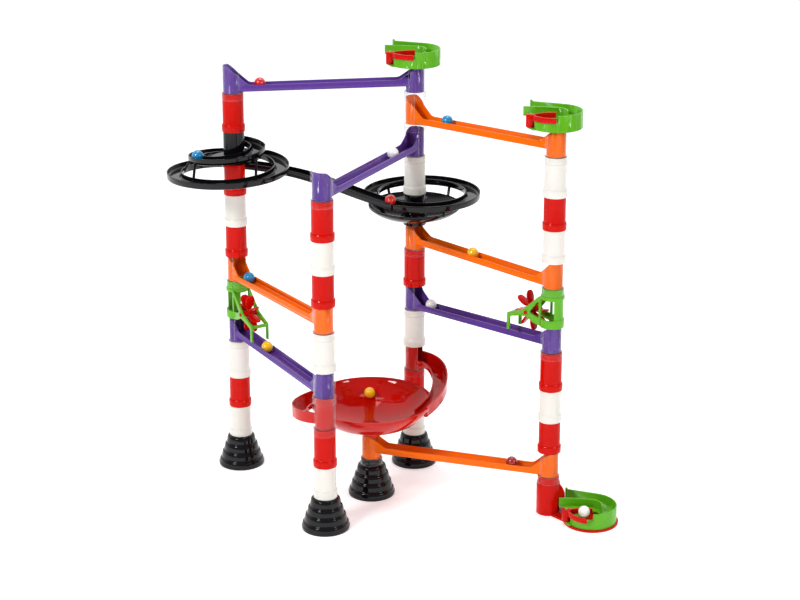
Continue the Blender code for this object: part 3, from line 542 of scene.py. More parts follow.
def tubes():
    """Red and white tubes: the tower of each run, its lowest level and its colours upwards."""
    rows = [("a", 1, "white red white"), ("a", 7, "red white red"), ("a", 11, "red"), ("b", 1, "white red"),
            ("b", 5, "white"), ("b", 7, "red white red"), ("c", 1, "white red"), ("c", 4, "white"),
            ("c", 6, "red"), ("c", 9, "white"), ("d", 2, "red white red"), ("d", 8, "white red white")]
    pattern = new_tube("tube_pattern")
    for tower, level, colours in rows:
        colours = colours.split()
        last = level + len(colours) - 1
        node = f"tube_{tower}{level}" if last == level else f"tubes_{tower}{level}_to_{tower}{last}"
        for step, colour in enumerate(colours):
            piece = place(copied(pattern, f"push_fit_tube_{tower}{level + step}"), on_axis(tower, level + step))
            fitted(piece, colour, "run", node)
    bpy.data.objects.remove(pattern)


def sleeves():
    """Clear sleeves, each slotted where a ramp leaves it."""
    rows = [("sleeve_a12", "a", 12, "c"), ("sleeve_a6", "a", 6, "b"), ("sleeve_a4", "a", 4, "b"),
            ("sleeve_b10", "b", 10, "c"), ("sleeve_b6", "b", 6, "a"), ("sleeves_b3_to_b4", "b", 3, "-"),
            ("sleeves_b3_to_b4", "b", 4, "a"), ("sleeves_c10_to_c12", "c", 10, "b"),
            ("sleeves_c10_to_c12", "c", 11, "d"), ("sleeves_c10_to_c12", "c", 12, "a"),
            ("sleeve_c7", "c", 7, "d"), ("sleeve_c5", "c", 5, "d"), ("sleeve_c3", "c", 3, "+"),
            ("sleeve_d11", "d", 11, "c"), ("sleeve_d7", "d", 7, "c"), ("sleeve_d5", "d", 5, "c"),
            ("sleeve_d1", "d", 1, "e"), ("sleeve_e1", "e", 1, "d")]
    pattern = spun("sleeve_pattern", tube_profile(), 48)
    slot_w = RAMP_W + 1 * MM
    cut(pattern, block("slot", (0, -slot_w / 2, RAMP_LOW - 0.3 * MM), (2 * TUBE_R, slot_w / 2, 2 * PITCH)))
    eased(pattern, 0.25 * MM)
    # the two marked + and - face a slide of the funnel
    slide = {"-": slide_heading(-1), "+": slide_heading(1)}
    for node, tower, level, towards in rows:
        turn = slide[towards] if towards in slide else heading(tower, towards)
        piece = place(copied(pattern, f"clear_sleeve_{tower}{level}"), on_axis(tower, level), turn)
        fitted(piece, "clear", "run", node)
    bpy.data.objects.remove(pattern)


def feet():
    """Stepped conical feet with rolled edges."""
    rings = 4
    neck_r, foot_r = 15 * MM, 28.8 * MM
    shoulder = PITCH - 0.3 * MM
    step_h = shoulder / rings
    profile = [(foot_r - 2 * MM, 0), (foot_r - 2 * MM, 3 * MM), (BORE_R, PITCH - 4 * MM),
               (BORE_R, PITCH + SPIGOT_H), (TUBE_R - 0.2 * MM, PITCH + SPIGOT_H),
               (TUBE_R, PITCH + SPIGOT_H - 1 * MM), (TUBE_R, shoulder)]
    for ring in range(rings):
        top_r = neck_r + (foot_r - neck_r) * ring / rings
        low_r = neck_r + (foot_r - neck_r) * (ring + 0.82) / rings
        top = shoulder - ring * step_h
        profile += [(top_r + 0.3 * MM, top - 0.2 * MM), (top_r + (low_r - top_r) * 0.72, top - 1.6 * MM),
                    (low_r, top - 4.2 * MM), (low_r + 0.5 * MM, top - step_h + 1.6 * MM)]
    profile += [(foot_r, 4 * MM), (foot_r, 0)]
    pattern = eased(spun("foot_pattern", profile, 64), 0.5 * MM, 3, 24)
    for tower in "abce":
        fitted(place(copied(pattern, f"stepped_foot_{tower}"), on_axis(tower)), "black", "run", f"foot_{tower}")
    bpy.data.objects.remove(pattern)


# ---------------------------------------------------------------- ramps


def ramp_under(distance):
    return RAMP_BASE + RAMP_RISE * (1 - distance / SPAN)


def new_ramp(name):
    """Channel with a shell at each end whose top falls to the rim, made along X from its high end."""
    clear = 2 * PITCH
    spare = 0.3 * MM

    def edge(distance, up):
        return (distance, ramp_under(distance) + up)

    # shares across and down, with both bends eased
    bend = [(-0.14, 0.0), (-0.04, 0.008), (0.05, 0.07), (0.14, 0.16), (0.88, 0.90), (0.96, 0.965),
            (1.05, 0.995), (1.2, 1.0)]

    def falling(sign, at):
        """The line from a shell's flat top down to the channel's rim."""
        low = edge(at + sign * GUSSET_LAST, RAMP_SIDE)[1]
        first, last = GUSSET_FIRST, GUSSET_LAST
        return [(at + sign * (first + (last - first) * across), SHELL_TOP + (low - SHELL_TOP) * down)
                for across, down in bend]

    outline = [edge(0, 0), edge(SPAN, 0), (SPAN, SHELL_TOP + spare), (0, SHELL_TOP + spare)]
    body = slab(name, outline, RAMP_W, upright=True)
    # soften the two long lower edges of the channel
    edit(body)
    bpy.ops.mesh.select_all(action="DESELECT")
    done()
    near_enough = 0.01 * MM
    for rail in body.data.edges:
        ends = [body.data.vertices[i].co for i in rail.vertices]
        is_low = all(abs(end.z - ramp_under(end.x)) < near_enough for end in ends)
        rail.select = is_low and (ends[0] - ends[1]).length > SPAN / 2
    bpy.ops.object.mode_set(mode="EDIT")
    bpy.ops.mesh.bevel(offset=2.6 * MM, segments=5, affect="EDGES")
    done()
    joined(body, rod("shell", SHELL_R, RAMP_LOW, SHELL_REACH, 48))
    far_shell = rod("shell", SHELL_R, RAMP_LOW, SHELL_REACH, 48)
    joined(body, place(far_shell, (SPAN, 0, 0)))
    above = [(-TUBE_R, SHELL_TOP)] + falling(1, 0) + falling(-1, SPAN)[::-1]
    above += [(SPAN + TUBE_R, SHELL_TOP), (SPAN + TUBE_R, clear), (-TUBE_R, clear)]
    cut(body, slab("above", above, 2 * TUBE_R, upright=True))
    corner = 1.9 * MM
    half = RAMP_INSIDE / 2
    section = [(-half, corner), (-half + 0.55 * corner, 0.4 * MM), (-half + corner + 0.8 * MM, 0),
               (half - corner - 0.8 * MM, 0), (half - 0.55 * corner, 0.4 * MM), (half, corner), (half, clear),
               (-half, clear)]
    way = [Vector((x, 0, ramp_under(x) + RAMP_FLOOR)) for x in (0, SPAN)]
    cut(body, swept("inside", way, section))
    cut(body, rod("upper_bore", SHELL_BORE, ramp_under(0) + RAMP_FLOOR, clear, 48))
    cut(body, place(rod("lower_bore", SHELL_BORE, 0, clear, 48), (SPAN, 0, 0)))
    return eased(body, 0.3 * MM)


def ramps():
    rows = [("c", "a", 12, "purple"), ("d", "c", 11, "orange"), ("c", "b", 10, "purple"),
            ("c", "d", 7, "orange"), ("d", "c", 5, "purple"), ("b", "a", 6, "orange"),
            ("a", "b", 4, "purple"), ("e", "d", 1, "orange")]
    pattern = new_ramp("ramp_pattern")
    for upper, lower, level, colour in rows:
        piece = copied(pattern, f"sloping_channel_{upper}{level}")
        place(piece, on_axis(upper, level), heading(upper, lower))
        fitted(piece, colour, "run", f"ramp_{upper}{level}_{lower}{level}")
    bpy.data.objects.remove(pattern)


# ---------------------------------------------------------------- spiral, link and dish

SPIRAL_SHIFT = Vector((-0.2 * PITCH, 0, 0))
SPIRAL_RADII = [(0, 0.62), (70, 0.93), (300, 0.99), (345, 1.2), (385, 1.65), (720, 1.65)]
SPIRAL_RIMS = [(0, 10.66), (165, 10.41), (300, 10.17), (378, 10.0), (615, 9.75), (720, 9.61)]
SPIRAL_START = 75
SPIRAL_TURN = 690
RING_R = 1.585 * PITCH
RING_SHIFT = Vector((0.22 * PITCH, 0.2 * PITCH, 0))
RING_FIRST = 240.6
RING_LAST = 539.74


def rim_outline(height=CHANNEL_H):
    """Channel with rolled lips and a dished floor."""
    half, wall = CHANNEL_W / 2, CHANNEL_WALL
    return [(-half + 1.6 * MM, 0), (half - 1.6 * MM, 0), (half - 0.5 * MM, 0.5 * MM), (half, 1.6 * MM),
            (half, height - 0.5 * MM), (half - 0.5 * MM, height), (half - wall + 0.3 * MM, height),
            (half - wall, height - 0.4 * MM), (half - wall - 0.3 * MM, wall + 1.4 * MM),
            (half - wall - 1.8 * MM, wall + 0.1 * MM), (-half + wall + 1.8 * MM, wall + 0.1 * MM),
            (-half + wall + 0.3 * MM, wall + 1.4 * MM), (-half + wall, height - 0.4 * MM),
            (-half + wall - 0.3 * MM, height), (-half + 0.5 * MM, height), (-half, height - 0.5 * MM),
            (-half, 1.6 * MM), (-half + 0.5 * MM, 0.5 * MM)]


def spiral_floor(turned):
    return along(SPIRAL_RIMS, turned) * PITCH - CHANNEL_H


def spiral_line():
    points = []
    for turned in range(0, SPIRAL_TURN + 1, 5):
        point = SPIRAL_SHIFT + ray(SPIRAL_START - turned) * along(SPIRAL_RADII, turned) * PITCH
        points.append(point + Vector((0, 0, spiral_floor(turned))))
    points.append(points[-1] + Vector((5 * MM, 0, -0.2 * MM)))
    return points


def spiral():
    name = "double_spiral"
    level = Vector((0, 0, 10 * PITCH))
    piece = place(new_tube(name), level)
    web_r = 30 * MM
    web = [(TUBE_R - 0.5 * MM, 4 * MM), (web_r, 4 * MM), (web_r, 6 * MM), (TUBE_R - 0.5 * MM, 6 * MM)]
    joined(piece, place(spun("web", web, 48), level), swept("rings", spiral_line(), rim_outline()))
    for angle in (20, 110, 200, 290):
        foot_at = ray(angle) * 28 * MM + level + Vector((0, 0, 4.5 * MM))
        head_at = ray(angle) * 30 * MM + SPIRAL_SHIFT
        head_at.z = spiral_floor((SPIRAL_START - angle) % 360) + 0.8 * MM
        joined(piece, strut("prop", foot_at, head_at))
    for high_angle, low_angle in ((-39, -49.5), (-142, -132), (165, 165)):
        high = SPIRAL_SHIFT + ray(high_angle) * 1.19 * PITCH
        high.z = spiral_floor((SPIRAL_START - high_angle) % 360) + 0.8 * MM
        low = SPIRAL_SHIFT + ray(low_angle) * 1.44 * PITCH
        low.z = spiral_floor((SPIRAL_START - low_angle) % 360 + 360) + 3 * MM
        joined(piece, strut("post", low, high, 1.7 * MM))
    floor = 14 * MM
    cut(piece, place(rod("bore", BORE_R - 0.03 * MM, COLLAR_H + 0.3 * MM, 2 * PITCH), level))
    cut(piece, place(rod("socket", SOCKET_R - 0.03 * MM, -PITCH, COLLAR_H - 0.02 * MM), level))
    joined(piece, place(rod("plug", BORE_R + 0.7 * MM, floor - 3 * MM, floor), level))
    door = block("door", (0, -RAMP_INSIDE / 2, floor + 0.2 * MM), (2 * TUBE_R, RAMP_INSIDE / 2, 34 * MM))
    cut(piece, place(door, level, math.radians(95)))
    eased(piece, 0.25 * MM)
    fitted(place(piece, on_axis("a")), "black", "run", "spiral_track")


def link_line():
    start = spiral_line()[-1] + on_axis("a")
    ring_in = on_axis("c") + RING_SHIFT + ray(RING_FIRST - 2) * RING_R
    ring_in.z = 9.02 * PITCH - CHANNEL_H
    lead = Vector((2.9 * PITCH, 0, 0))
    arrive = Vector((0.85, -0.53, 0)) * 2.2 * PITCH
    points = []
    steps = 40
    for i in range(steps + 1):
        t = i / steps
        point = start * (1 - t) ** 3 + (start + lead) * (3 * t * (1 - t) ** 2)
        point += (ring_in - arrive) * (3 * t * t * (1 - t)) + ring_in * t ** 3
        point.z = start.z + (ring_in.z - start.z) * t
        points.append(point)
    points[0].x += 0.6 * MM
    return points


def link():
    fitted(eased(swept("linking_channel", link_line(), rim_outline()), 0.2 * MM), "black", "run", "link_track")


def ring_floor(share):
    return (9.01 - 0.03 * share) * PITCH - CHANNEL_H


def dish():
    name = "ringed_dish"
    level = Vector((0, 0, 8 * PITCH))
    rim_r = 57.5 * MM
    core_r = 8 * MM
    profile = [(rim_r - 1.6 * MM, 25 * MM), (rim_r - 1.6 * MM, 23.8 * MM), (54 * MM, 21.2 * MM),
               (50 * MM, 18.3 * MM), (45 * MM, 15.8 * MM), (38 * MM, 13.4 * MM), (28 * MM, 11.4 * MM),
               (18 * MM, 10.6 * MM), (core_r, 10 * MM), (core_r, 0), (COLLAR_R, 0), (COLLAR_R, COLLAR_H),
               (28 * MM, 9.6 * MM), (38 * MM, 11.5 * MM), (46 * MM, 14.1 * MM), (52 * MM, 17.6 * MM),
               (56 * MM, 20.9 * MM), (rim_r, 22.8 * MM), (rim_r, 25 * MM)]
    piece = place(spun(name, profile, 72), level)
    steps = 60
    ring_line = [point + Vector((0, 0, ring_floor(i / steps))) for i, point in
                 enumerate(arc(RING_SHIFT, RING_R, RING_FIRST, RING_LAST, steps))]
    hub = place(rod("hub", TUBE_R, 1 * MM, PITCH + SPIGOT_H), level)
    joined(piece, swept("ring", ring_line, rim_outline()), hub)
    for low_angle, high_angle in ((42, 51), (123.5, 138), (308, 300)):
        share = (high_angle - RING_FIRST) % 360 / (RING_LAST - RING_FIRST)
        low = ray(low_angle) * (rim_r - 1.1 * MM) + level + Vector((0, 0, 21.4 * MM))
        high = RING_SHIFT + ray(high_angle) * (RING_R - CHANNEL_W / 2 + 2.4 * MM)
        high.z = ring_floor(share) + 0.9 * MM
        joined(piece, strut("post", low, high, 1.8 * MM))
    cut(piece, place(rod("bore", BORE_R, -PITCH, 2 * PITCH), level))
    for angle in (40, 160, 280):
        door = block("door", (4 * MM, -7.6 * MM, 10.1 * MM), (13.6 * MM, 7.6 * MM, 27 * MM))
        cut(piece, place(door, level, math.radians(angle)))
    cut(piece, place(rod("socket", SOCKET_R, -PITCH, COLLAR_H - 0.1 * MM), level))
    eased(piece, 0.25 * MM)
    fitted(place(piece, on_axis("c")), "black", "run", "dish_track")


# ---------------------------------------------------------------- funnel

FUNNEL_R = 75.5 * MM


def slide_line(side):
    """Way of a slide from a tower's axis to the inside of the bowl, about the middle tower."""
    stops = [(1.75, 2.255, 3.34), (2.03, 1.88, 3.26), (2.14, 1.35, 3.15), (2.12, 0.80, 3.04),
             (1.99, 0.27, 2.94), (1.78, -0.2, 2.86), (1.52, -0.60, 2.80)]
    start = TOWER["c"] - TOWER["e"]
    points = [Vector((side * start.x, side * start.y, 3.38 * PITCH))]
    return points + [Vector((side * x, side * y, z)) * PITCH for x, y, z in stops]


def slide_heading(side):
    points = slide_line(side)
    run = points[1] - points[0]
    return math.atan2(run.y, run.x)


def funnel():
    name = "funnel_bowl"
    level = Vector((0, 0, 2 * PITCH))
    wall_r = FUNNEL_R - 1.6 * MM
    profile = [(SOCKET_R, 0), (SOCKET_R, COLLAR_H - 0.1 * MM), (BORE_R, COLLAR_H - 0.1 * MM),
               (BORE_R, 9.2 * MM), (12.6 * MM, 10.1 * MM), (20 * MM, 10.9 * MM), (28 * MM, 12.2 * MM),
               (36 * MM, 14.1 * MM), (44 * MM, 16.7 * MM), (52 * MM, 20.3 * MM), (58 * MM, 24.2 * MM),
               (64 * MM, 29.4 * MM), (69 * MM, 35.0 * MM), (72.4 * MM, 39.8 * MM), (wall_r, 42.6 * MM),
               (wall_r + 0.3 * MM, 44 * MM),
               (FUNNEL_R, 44 * MM), (FUNNEL_R, 42.2 * MM), (74 * MM, 38.6 * MM), (70.6 * MM, 33.6 * MM),
               (65.6 * MM, 28 * MM), (59 * MM, 22.2 * MM), (52 * MM, 17.9 * MM), (45 * MM, 14.8 * MM),
               (37 * MM, 12.2 * MM), (26 * MM, 9.9 * MM), (COLLAR_R, COLLAR_H + 0.4 * MM), (COLLAR_R, 0)]
    piece = place(spun(name, profile, 96), level)
    half, wall, high, low = CHANNEL_W / 2, CHANNEL_WALL, 14 * MM, 7 * MM
    solid = [(-half, 1.2 * MM), (-half + 1.2 * MM, 0), (half - 1.2 * MM, 0), (half, 1.2 * MM), (half, low),
             (half - wall, low), (half - wall, wall), (-half + wall, wall), (-half + wall, high), (-half, high)]
    half = CHANNEL_W / 2 - CHANNEL_WALL - 0.1 * MM
    inside = [(-half, wall + 1.2 * MM), (-half + 1.2 * MM, wall), (half - 1.2 * MM, wall),
              (half, wall + 1.2 * MM), (half, 26 * MM), (-half, 26 * MM)]
    insides = []
    for side, tower in ((1, "c"), (-1, "b")):
        points = slide_line(side)
        way = eased_line(points)
        shell = rod("shell", SHELL_R, RAMP_LOW, SHELL_REACH, 48)
        stand = TOWER[tower] - TOWER["e"] + Vector((0, 0, 3 * PITCH))
        joined(piece, swept("slide", way, solid), place(shell, stand))
        through = [way[0].lerp(way[1], -0.2)] + way[1:-1] + [way[-2].lerp(way[-1], 1.3)]
        insides.append(swept("inside", through, inside))
        bore_low = points[0].z - 3 * PITCH + CHANNEL_WALL - 0.3 * MM
        insides.append(place(rod("bore", SHELL_BORE - 0.2 * MM, bore_low, 2 * PITCH, 48), stand))
    cut(piece, *insides)
    eased(piece, 0.3 * MM)
    fitted(place(piece, on_axis("e")), "bowl", "run", "funnel")


# ---------------------------------------------------------------- turning trays, latches, bottom of tower D


def turn_outer():
    return [Vector((-0.65, 1.05, 0)) * PITCH] + arc((0, 0, 0), TURN_R - TURN_WALL / 2, 71, -90, 32)


def turn_inner():
    lead = [Vector((-0.92, 0.45, 0)) * PITCH, Vector((-0.45, 0.415, 0)) * PITCH]
    return lead + arc((0, 0, 0), 0.33 * PITCH, 75, -20, 14)


def fence(name, plan, low, high):
    half, ease = TURN_WALL / 2, 0.35 * MM
    tall = high - low
    outline = [(-half, 0), (half, 0), (half, tall - ease), (half - ease, tall), (-half + ease, tall),
               (-half, tall - ease)]
    return swept(name, [Vector((p.x, p.y, low)) for p in plan], outline)


def new_tray(name):
    floor = TURN_FLOOR + TURN_PLATE
    edge = turn_outer() + arc((0, 0, 0), TURN_R - TURN_WALL / 2, -94, -150, 10)
    edge += [Vector(p) * PITCH for p in ((-0.53, -0.30, 0), (-0.53, 0.05, 0), (-0.91, 0.44, 0))]
    tray = place(slab(name, [(p.x, p.y) for p in edge], TURN_PLATE), (0, 0, TURN_FLOOR + TURN_PLATE / 2))
    low_arc = arc((0, 0, 0), TURN_R - TURN_WALL / 2, -88, -146, 12)
    post = place(rod("post", 1.5 * MM, 0.2 * MM, TURN_H + 1.5 * MM, 20), Vector((-0.65, 1.05, 0)) * PITCH)
    collar = place(rod("collar", COLLAR_R, 0, TURN_FLOOR + 0.4 * MM, 48), TURN_HOLE)
    ear = place(block("ear", (-3 * MM, -12 * MM, 0.5 * MM), (3 * MM, 2 * MM, 2 * MM)), PIVOT, math.radians(24))
    peg = place(rod("peg", 1.8 * MM, 0.9 * MM, 18 * MM, 20), PIVOT)
    joined(tray, fence("outer", turn_outer(), 0, TURN_H), fence("low", low_arc, 0.2 * MM, floor - 0.2 * MM),
           fence("inner", turn_inner(), TURN_FLOOR + 0.3 * MM, TURN_H - 0.3 * MM), post, collar, ear, peg)
    cut(tray, place(rod("socket", SOCKET_R, -PITCH, COLLAR_H, 48), TURN_HOLE),
        place(rod("hole", BORE_R, 0, PITCH, 48), TURN_HOLE))
    return eased(tray, 0.28 * MM)


def new_latch(name):
    """Two-armed gate, made about its peg."""
    low, high = TURN_FLOOR + TURN_PLATE + 0.5 * MM, 17 * MM
    gate = rod(name, 5.4 * MM, 2.2 * MM, high, 32)
    rear = [Vector((0, 0, 0)), Vector((0.40, 0.20, 0)) * PITCH, Vector((0.72, 0.24, 0)) * PITCH]
    front = [Vector((0, 0, 0))] + [p - PIVOT for p in arc((0, 0, 0), TURN_R - 1.4 * MM, 212, 264, 12)]
    half, tall = 1 * MM, high - low - 0.3 * MM
    for plan in (eased_line(rear), front):
        joined(gate, swept("arm", [Vector((p.x, p.y, low)) for p in plan],
                           [(-half, 0), (half, 0), (half, tall), (-half, tall)]))
    tips = ((0.72, 0.24), (front[-1].x / PITCH, front[-1].y / PITCH))
    for x, y in tips:
        joined(gate, place(rod("tip", 1.35 * MM, low + 0.05 * MM, low + tall - 0.05 * MM, 20),
                           Vector((x, y, 0)) * PITCH))
    cut(gate, rod("hole", 2.1 * MM, 0, PITCH, 20))
    return eased(gate, 0.25 * MM)


def trays():
    rows = [("start_tray_c", TOWER["c"] - TURN_HOLE + Vector((0, 0, 13 * PITCH)), 0.0),
            ("start_tray_d", TOWER["d"] - TURN_HOLE + Vector((0, 0, 12 * PITCH)), 0.0),
            ("catch_tray", TOWER["d"] + CATCHER + Vector((0, 0, CATCH_LIFT)), math.radians(-14))]
    tray, gate = new_tray("tray_pattern"), new_latch("latch_pattern")
    for node, at, turn in rows:
        latch_node = node.replace("tray", "latch")
        fitted(place(copied(tray, "turning_" + node), at), "green", "run", node)
        fitted(place(copied(gate, "swing_" + latch_node), at + PIVOT, turn), "red", latch_node, latch_node)
    bpy.data.objects.remove(tray)
    bpy.data.objects.remove(gate)


def bottom_d():
    """Lowest tube of tower D with its side chute and the round plate beside it."""
    floor = 14.5 * MM
    turn = math.radians(12)
    piece = rod("base_with_chute", COLLAR_R, 0, PITCH - 0.3 * MM)
    outline = [(0, floor - 1.6 * MM), (18.5 * MM, floor - 1.6 * MM), (18.5 * MM, 27 * MM), (17 * MM, 31 * MM),
               (15 * MM, 35 * MM), (13 * MM, 38 * MM), (0, 38 * MM)]
    plate_r = TURN_R + 2 * MM
    neck = [(0, 9 * MM), (CATCHER.x, CATCHER.y + plate_r - 1 * MM), (CATCHER.x - 8 * MM, CATCHER.y - 31 * MM),
            (0, -11 * MM)]
    disc = rod("disc", plate_r, 0, 2.4 * MM, 84)
    boss = place(rod("boss", TUBE_R, 0.5 * MM, 2.4 * MM + SPIGOT_H, 48), CATCHER + TURN_HOLE)
    joined(piece, place(slab("chute", outline, RAMP_W, upright=True), (0, 0, 0), turn),
           rod("spigot", TUBE_R, PITCH - 1 * MM, PITCH + SPIGOT_H, 48), place(disc, CATCHER),
           place(slab("neck", neck, 2.2 * MM), (0, 0, 1.2 * MM)), boss)
    half = RAMP_INSIDE / 2
    cut(piece, rod("bore", BORE_R, floor, 2 * PITCH, 48),
        place(block("gate", (0, -half, floor), (30 * MM, half, 35 * MM)), (0, 0, 0), turn),
        place(block("open_top", (14.6 * MM, -half, floor), (30 * MM, half, 60 * MM)), (0, 0, 0), turn))
    fitted(place(eased(piece, 0.35 * MM), on_axis("d")), "red", "run", "base_d")


# ---------------------------------------------------------------- paddle wheels and their brackets


def side_frame(side):
    """One side frame with its window and axle hole, standing along X."""
    outer = [(9.2, 0.7), (20, 2.4), (31, 7.6), (42, 5.6), (54, 2.2), (56, 0), (56, -15), (60, -15), (60, 4.6),
             (58.6, 6.2), (36, 14.4), (34, 16.4), (11.5, 37), (6.8, 38.8), (6.8, 34.5), (8.6, 34.5), (8.6, 9.2),
             (9.2, 8.6)]
    window = [(11.4, 10), (23.5, 12.6), (25.2, 15), (12.6, 30.6), (11.4, 30)]
    plate = slab("side_frame", [(x * MM, z * MM) for x, z in outer], FRAME_T, upright=True)
    cut(plate, slab("window", [(x * MM, z * MM) for x, z in window], 4 * FRAME_T, upright=True))
    boss = rod("boss", 3.3 * MM, -FRAME_T / 2 - 0.3 * MM, FRAME_T / 2 + 0.3 * MM, 28, axis="Y")
    joined(plate, place(boss, (WHEEL_OUT, 0, WHEEL_UP)))
    cut(plate, place(rod("axle_hole", 1.5 * MM, -10 * MM, 10 * MM, 24, axis="Y"), (WHEEL_OUT, 0, WHEEL_UP)))
    return place(plate, (0, side * (FRAME_GAP + FRAME_T) / 2, 0))


def new_bracket(name):
    shaft = spun(name, [(SOCKET_R, 0), (SOCKET_R, COLLAR_H), (BORE_R, COLLAR_H), (BORE_R, PITCH + SPIGOT_H),
                        (TUBE_R - 0.2 * MM, PITCH + SPIGOT_H), (TUBE_R, PITCH + SPIGOT_H - 1 * MM),
                        (TUBE_R, PITCH - 0.3 * MM), (COLLAR_R, PITCH - 1.5 * MM), (COLLAR_R, 35 * MM),
                        (TUBE_R, 34 * MM), (TUBE_R, 10.5 * MM), (COLLAR_R, 9.7 * MM), (COLLAR_R, 0)], 64)
    cut(shaft, block("gap", (-9.5 * MM, -30 * MM, 9.75 * MM), (30 * MM, 30 * MM, 34.4 * MM)),
        block("slot", (0, -8.4 * MM, -PITCH), (30 * MM, 8.4 * MM, 12 * MM)))
    half = FRAME_GAP / 2 + 0.8 * FRAME_T
    bar = block("bar", (57 * MM, -half, 1.8 * MM), (59.7 * MM, half, 5.4 * MM))
    joined(shaft, side_frame(-1), side_frame(1), bar)
    return eased(shaft, 0.3 * MM)


def new_wheel(name):
    """Hub with rounded paddles, made about the middle of its axle, which lies along Y."""
    neck, blade = 2.6 * MM, 6 * MM
    quarter = [(neck, 0), (neck, 0.30 * WHEEL_R), (0.62 * blade, 0.36 * WHEEL_R),
               (0.85 * blade, 0.43 * WHEEL_R), (blade, 0.56 * WHEEL_R), (blade, 0.72 * WHEEL_R),
               (0.88 * blade, 0.84 * WHEEL_R), (0.66 * blade, 0.93 * WHEEL_R), (0.36 * blade, 0.975 * WHEEL_R)]
    blades = quarter + [(-x, y) for x, y in reversed(quarter)]
    hub = rod(name, 4 * MM, -8.6 * MM, 8.6 * MM, 40, axis="Y")
    count = 8
    for i in range(count):
        leaf = slab("paddle", blades, 1.5 * MM)
        # stand the leaf up along Z with its breadth along the axle, then lean it to its own place
        leaf.rotation_euler = (math.pi / 2, 0, math.pi / 2)
        pick(leaf)
        bpy.ops.object.transform_apply(location=True, rotation=True, scale=True)
        leaf.rotation_euler = (0, math.radians(11) + math.tau * i / count, 0)
        bpy.ops.object.transform_apply(location=True, rotation=True, scale=True)
        joined(hub, leaf)
    cut(hub, rod("bore", 1.5 * MM, -PITCH, PITCH, 24, axis="Y"))
    return eased(hub, 0.3 * MM)


def new_axle(name):
    reach = FRAME_GAP / 2 + FRAME_T
    pin = rod(name, 1.2 * MM, -reach - 1 * MM, reach + 1 * MM, 24, axis="Y")
    for low, high in ((-reach - 1.6 * MM, -reach - 0.35 * MM), (reach + 0.35 * MM, reach + 1.6 * MM)):
        joined(pin, rod("head", 2.4 * MM, low, high, 24, axis="Y"))
    return eased(pin, 0.25 * MM)


def wheels():
    bracket, wheel, axle = new_bracket("bracket_pattern"), new_wheel("wheel_pattern"), new_axle("axle_pattern")
    for mark, upper, lower, level in (("d6", "d", "c", 6), ("a5", "a", "b", 5)):
        turn = heading(upper, lower)
        hub = on_axis(upper, level) + ray(math.degrees(turn)) * WHEEL_OUT + Vector((0, 0, WHEEL_UP))
        fitted(place(copied(bracket, f"open_bracket_{mark}"), on_axis(upper, level), turn), "green", "run",
               f"bracket_{mark}")
        fitted(place(copied(wheel, f"paddles_{mark}"), hub, turn), "red", f"wheel_{mark}", f"wheel_{mark}")
        fitted(place(copied(axle, f"axle_pin_{mark}"), hub, turn), "red", "run", f"axle_{mark}")
    for pattern in (bracket, wheel, axle):
        bpy.data.objects.remove(pattern)


# ---------------------------------------------------------------- marbles


def on_ramp(upper, lower, level, share):
    point = TOWER[upper].lerp(TOWER[lower], share)
    point.z = level * PITCH + ramp_under(share * SPAN) + RAMP_FLOOR + MARBLE_R + 0.3 * MM
    return point


def marbles():
    channel_lift = CHANNEL_WALL + MARBLE_R + 0.2 * MM
    upper_at = -156.0
    turned = (SPIRAL_START - upper_at) % 360
    on_spiral = on_axis("a") + SPIRAL_SHIFT + ray(upper_at) * along(SPIRAL_RADII, turned) * PITCH
    on_spiral.z = spiral_floor(turned) + channel_lift
    on_link = min(link_line(), key=lambda point: abs(point.x - TOWER["c"].x + 0.772 * PITCH))
    on_link.z += channel_lift
    rows = [("c12", on_ramp("c", "a", 12, 0.85), "red", "marble_c12"),
            ("d11", on_ramp("d", "c", 11, 0.76), "blue", "marble_d11"),
            ("c7", on_ramp("c", "d", 7, 0.435), "yellow", "marble_c7"),
            ("funnel", TOWER["e"] + ray(93) * 54 * MM + Vector((0, 0, 2 * PITCH + 30.9 * MM)), "yellow",
             "marble_funnel"),
            ("c10", on_ramp("c", "b", 10, 0.25), "white", None),
            ("b6", on_ramp("b", "a", 6, 0.852), "blue", None),
            ("a4", on_ramp("a", "b", 4, 0.35), "yellow", None),
            ("d5", on_ramp("d", "c", 5, 0.872), "white", None),
            ("e1", on_ramp("e", "d", 1, 0.795), "dark", None),
            ("spiral", on_spiral, "blue", None), ("link", on_link, "red", None),
            ("catch", TOWER["d"] + CATCHER + Vector((-0.24, -0.405, 0.5)) * PITCH, "white", None)]
    pick_none()
    bpy.ops.mesh.primitive_ico_sphere_add(subdivisions=5, radius=MARBLE_R)
    pattern = named("marble_pattern")
    # a faint moulding seam round the middle
    edit(pattern)
    bpy.ops.mesh.select_all(action="DESELECT")
    done()
    for vertex in pattern.data.vertices:
        vertex.select = abs(vertex.co.z) < 0.25 * MM
    bpy.ops.object.mode_set(mode="EDIT")
    bpy.ops.transform.resize(value=(1.006, 1.006, 1), center_override=(0, 0, 0))
    done()
    bpy.ops.object.shade_smooth()
    for mark, at, colour, node in rows:
        piece = place(copied(pattern, f"rolling_marble_{mark}"), at)
        fitted(piece, "marble_" + colour, node or "run", *([node] if node else []))
    bpy.data.objects.remove(pattern)


# ---------------------------------------------------------------- floor, light and camera


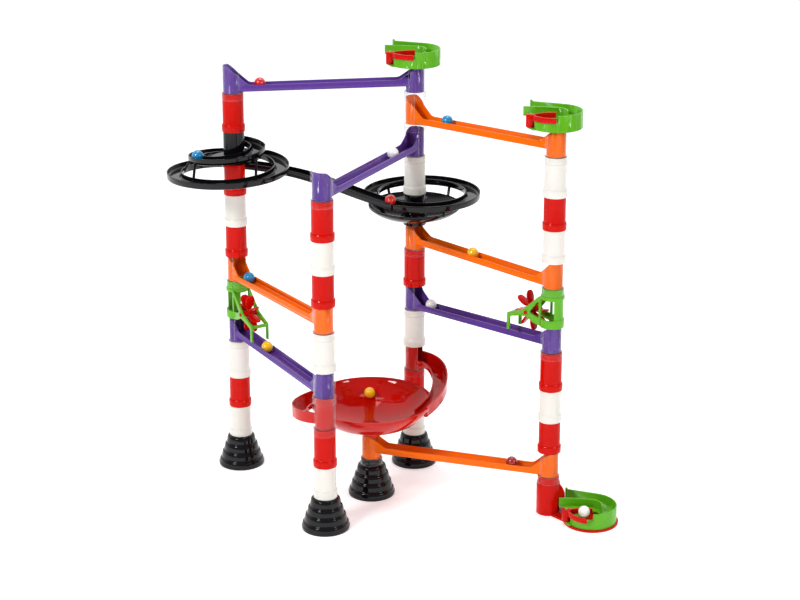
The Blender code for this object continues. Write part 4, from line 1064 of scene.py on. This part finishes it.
def studio():
    pick_none()
    bpy.ops.mesh.primitive_plane_add(size=12, location=(0, 0, 0))
    floor = named("floor")
    paint = Paint("paper")
    grain = paint.add("TexNoise", {}, {"Scale": 300.0})
    floor.data.materials.append(paint.finish(Base_Color=(0.95, 0.95, 0.95, 1), Roughness=grain * 0.1 + 0.6,
                                            Emission_Color=(1, 1, 1, 1), Emission_Strength=0.32))
    world = bpy.data.worlds.new("studio")
    bpy.context.scene.world = world
    world.use_nodes = True
    # a white room, dimmer at the front so that glossy faces keep their depth
    nodes, links = world.node_tree.nodes, world.node_tree.links
    direction = nodes.new("ShaderNodeTexCoord")
    split = nodes.new("ShaderNodeSeparateXYZ")
    ramp = nodes.new("ShaderNodeValToRGB")
    front, rest = (0.33, 0.33, 0.34, 1), (1, 1, 1, 1)
    for stop, position, colour in zip(ramp.color_ramp.elements, (0.0, 0.30), (front, rest)):
        stop.position = position
        stop.color = colour
    links.new(direction.outputs["Generated"], split.inputs[0])
    links.new(split.outputs["Y"], ramp.inputs["Fac"])
    links.new(ramp.outputs["Color"], nodes["Background"].inputs["Color"])
    nodes["Background"].inputs["Strength"].default_value = 1.05
    lamps = [("key", (-1.5, -1.5, 1.7), 0.6, 36), ("fill", (1.8, -1.4, 1.2), 0.5, 15),
             ("top", (0.2, 0.4, 2.6), 1.4, 24)]
    for name, at, size, power in lamps:
        aim = Vector((0, 0, 0.25)) - Vector(at)
        bpy.ops.object.light_add(type="AREA", location=at, rotation=aim.to_track_quat("-Z", "Y").to_euler())
        lamp = bpy.context.object
        lamp.name = name + "_light"
        lamp.data.size = size
        lamp.data.energy = power


def camera():
    bpy.ops.object.camera_add(location=TOWER["e"] + EYE, rotation=(math.radians(90 - LOOK_DOWN), 0, 0))
    eye = bpy.context.object
    eye.data.lens = LENS
    eye.data.sensor_width = 36
    eye.data.shift_y = LENS_SHIFT
    bpy.context.scene.camera = eye


camera()
studio()
bpy.context.scene.view_settings.view_transform = "Standard"
tubes()
sleeves()
feet()
ramps()
spiral()
link()
dish()
funnel()
trays()
bottom_d()
wheels()
marbles()
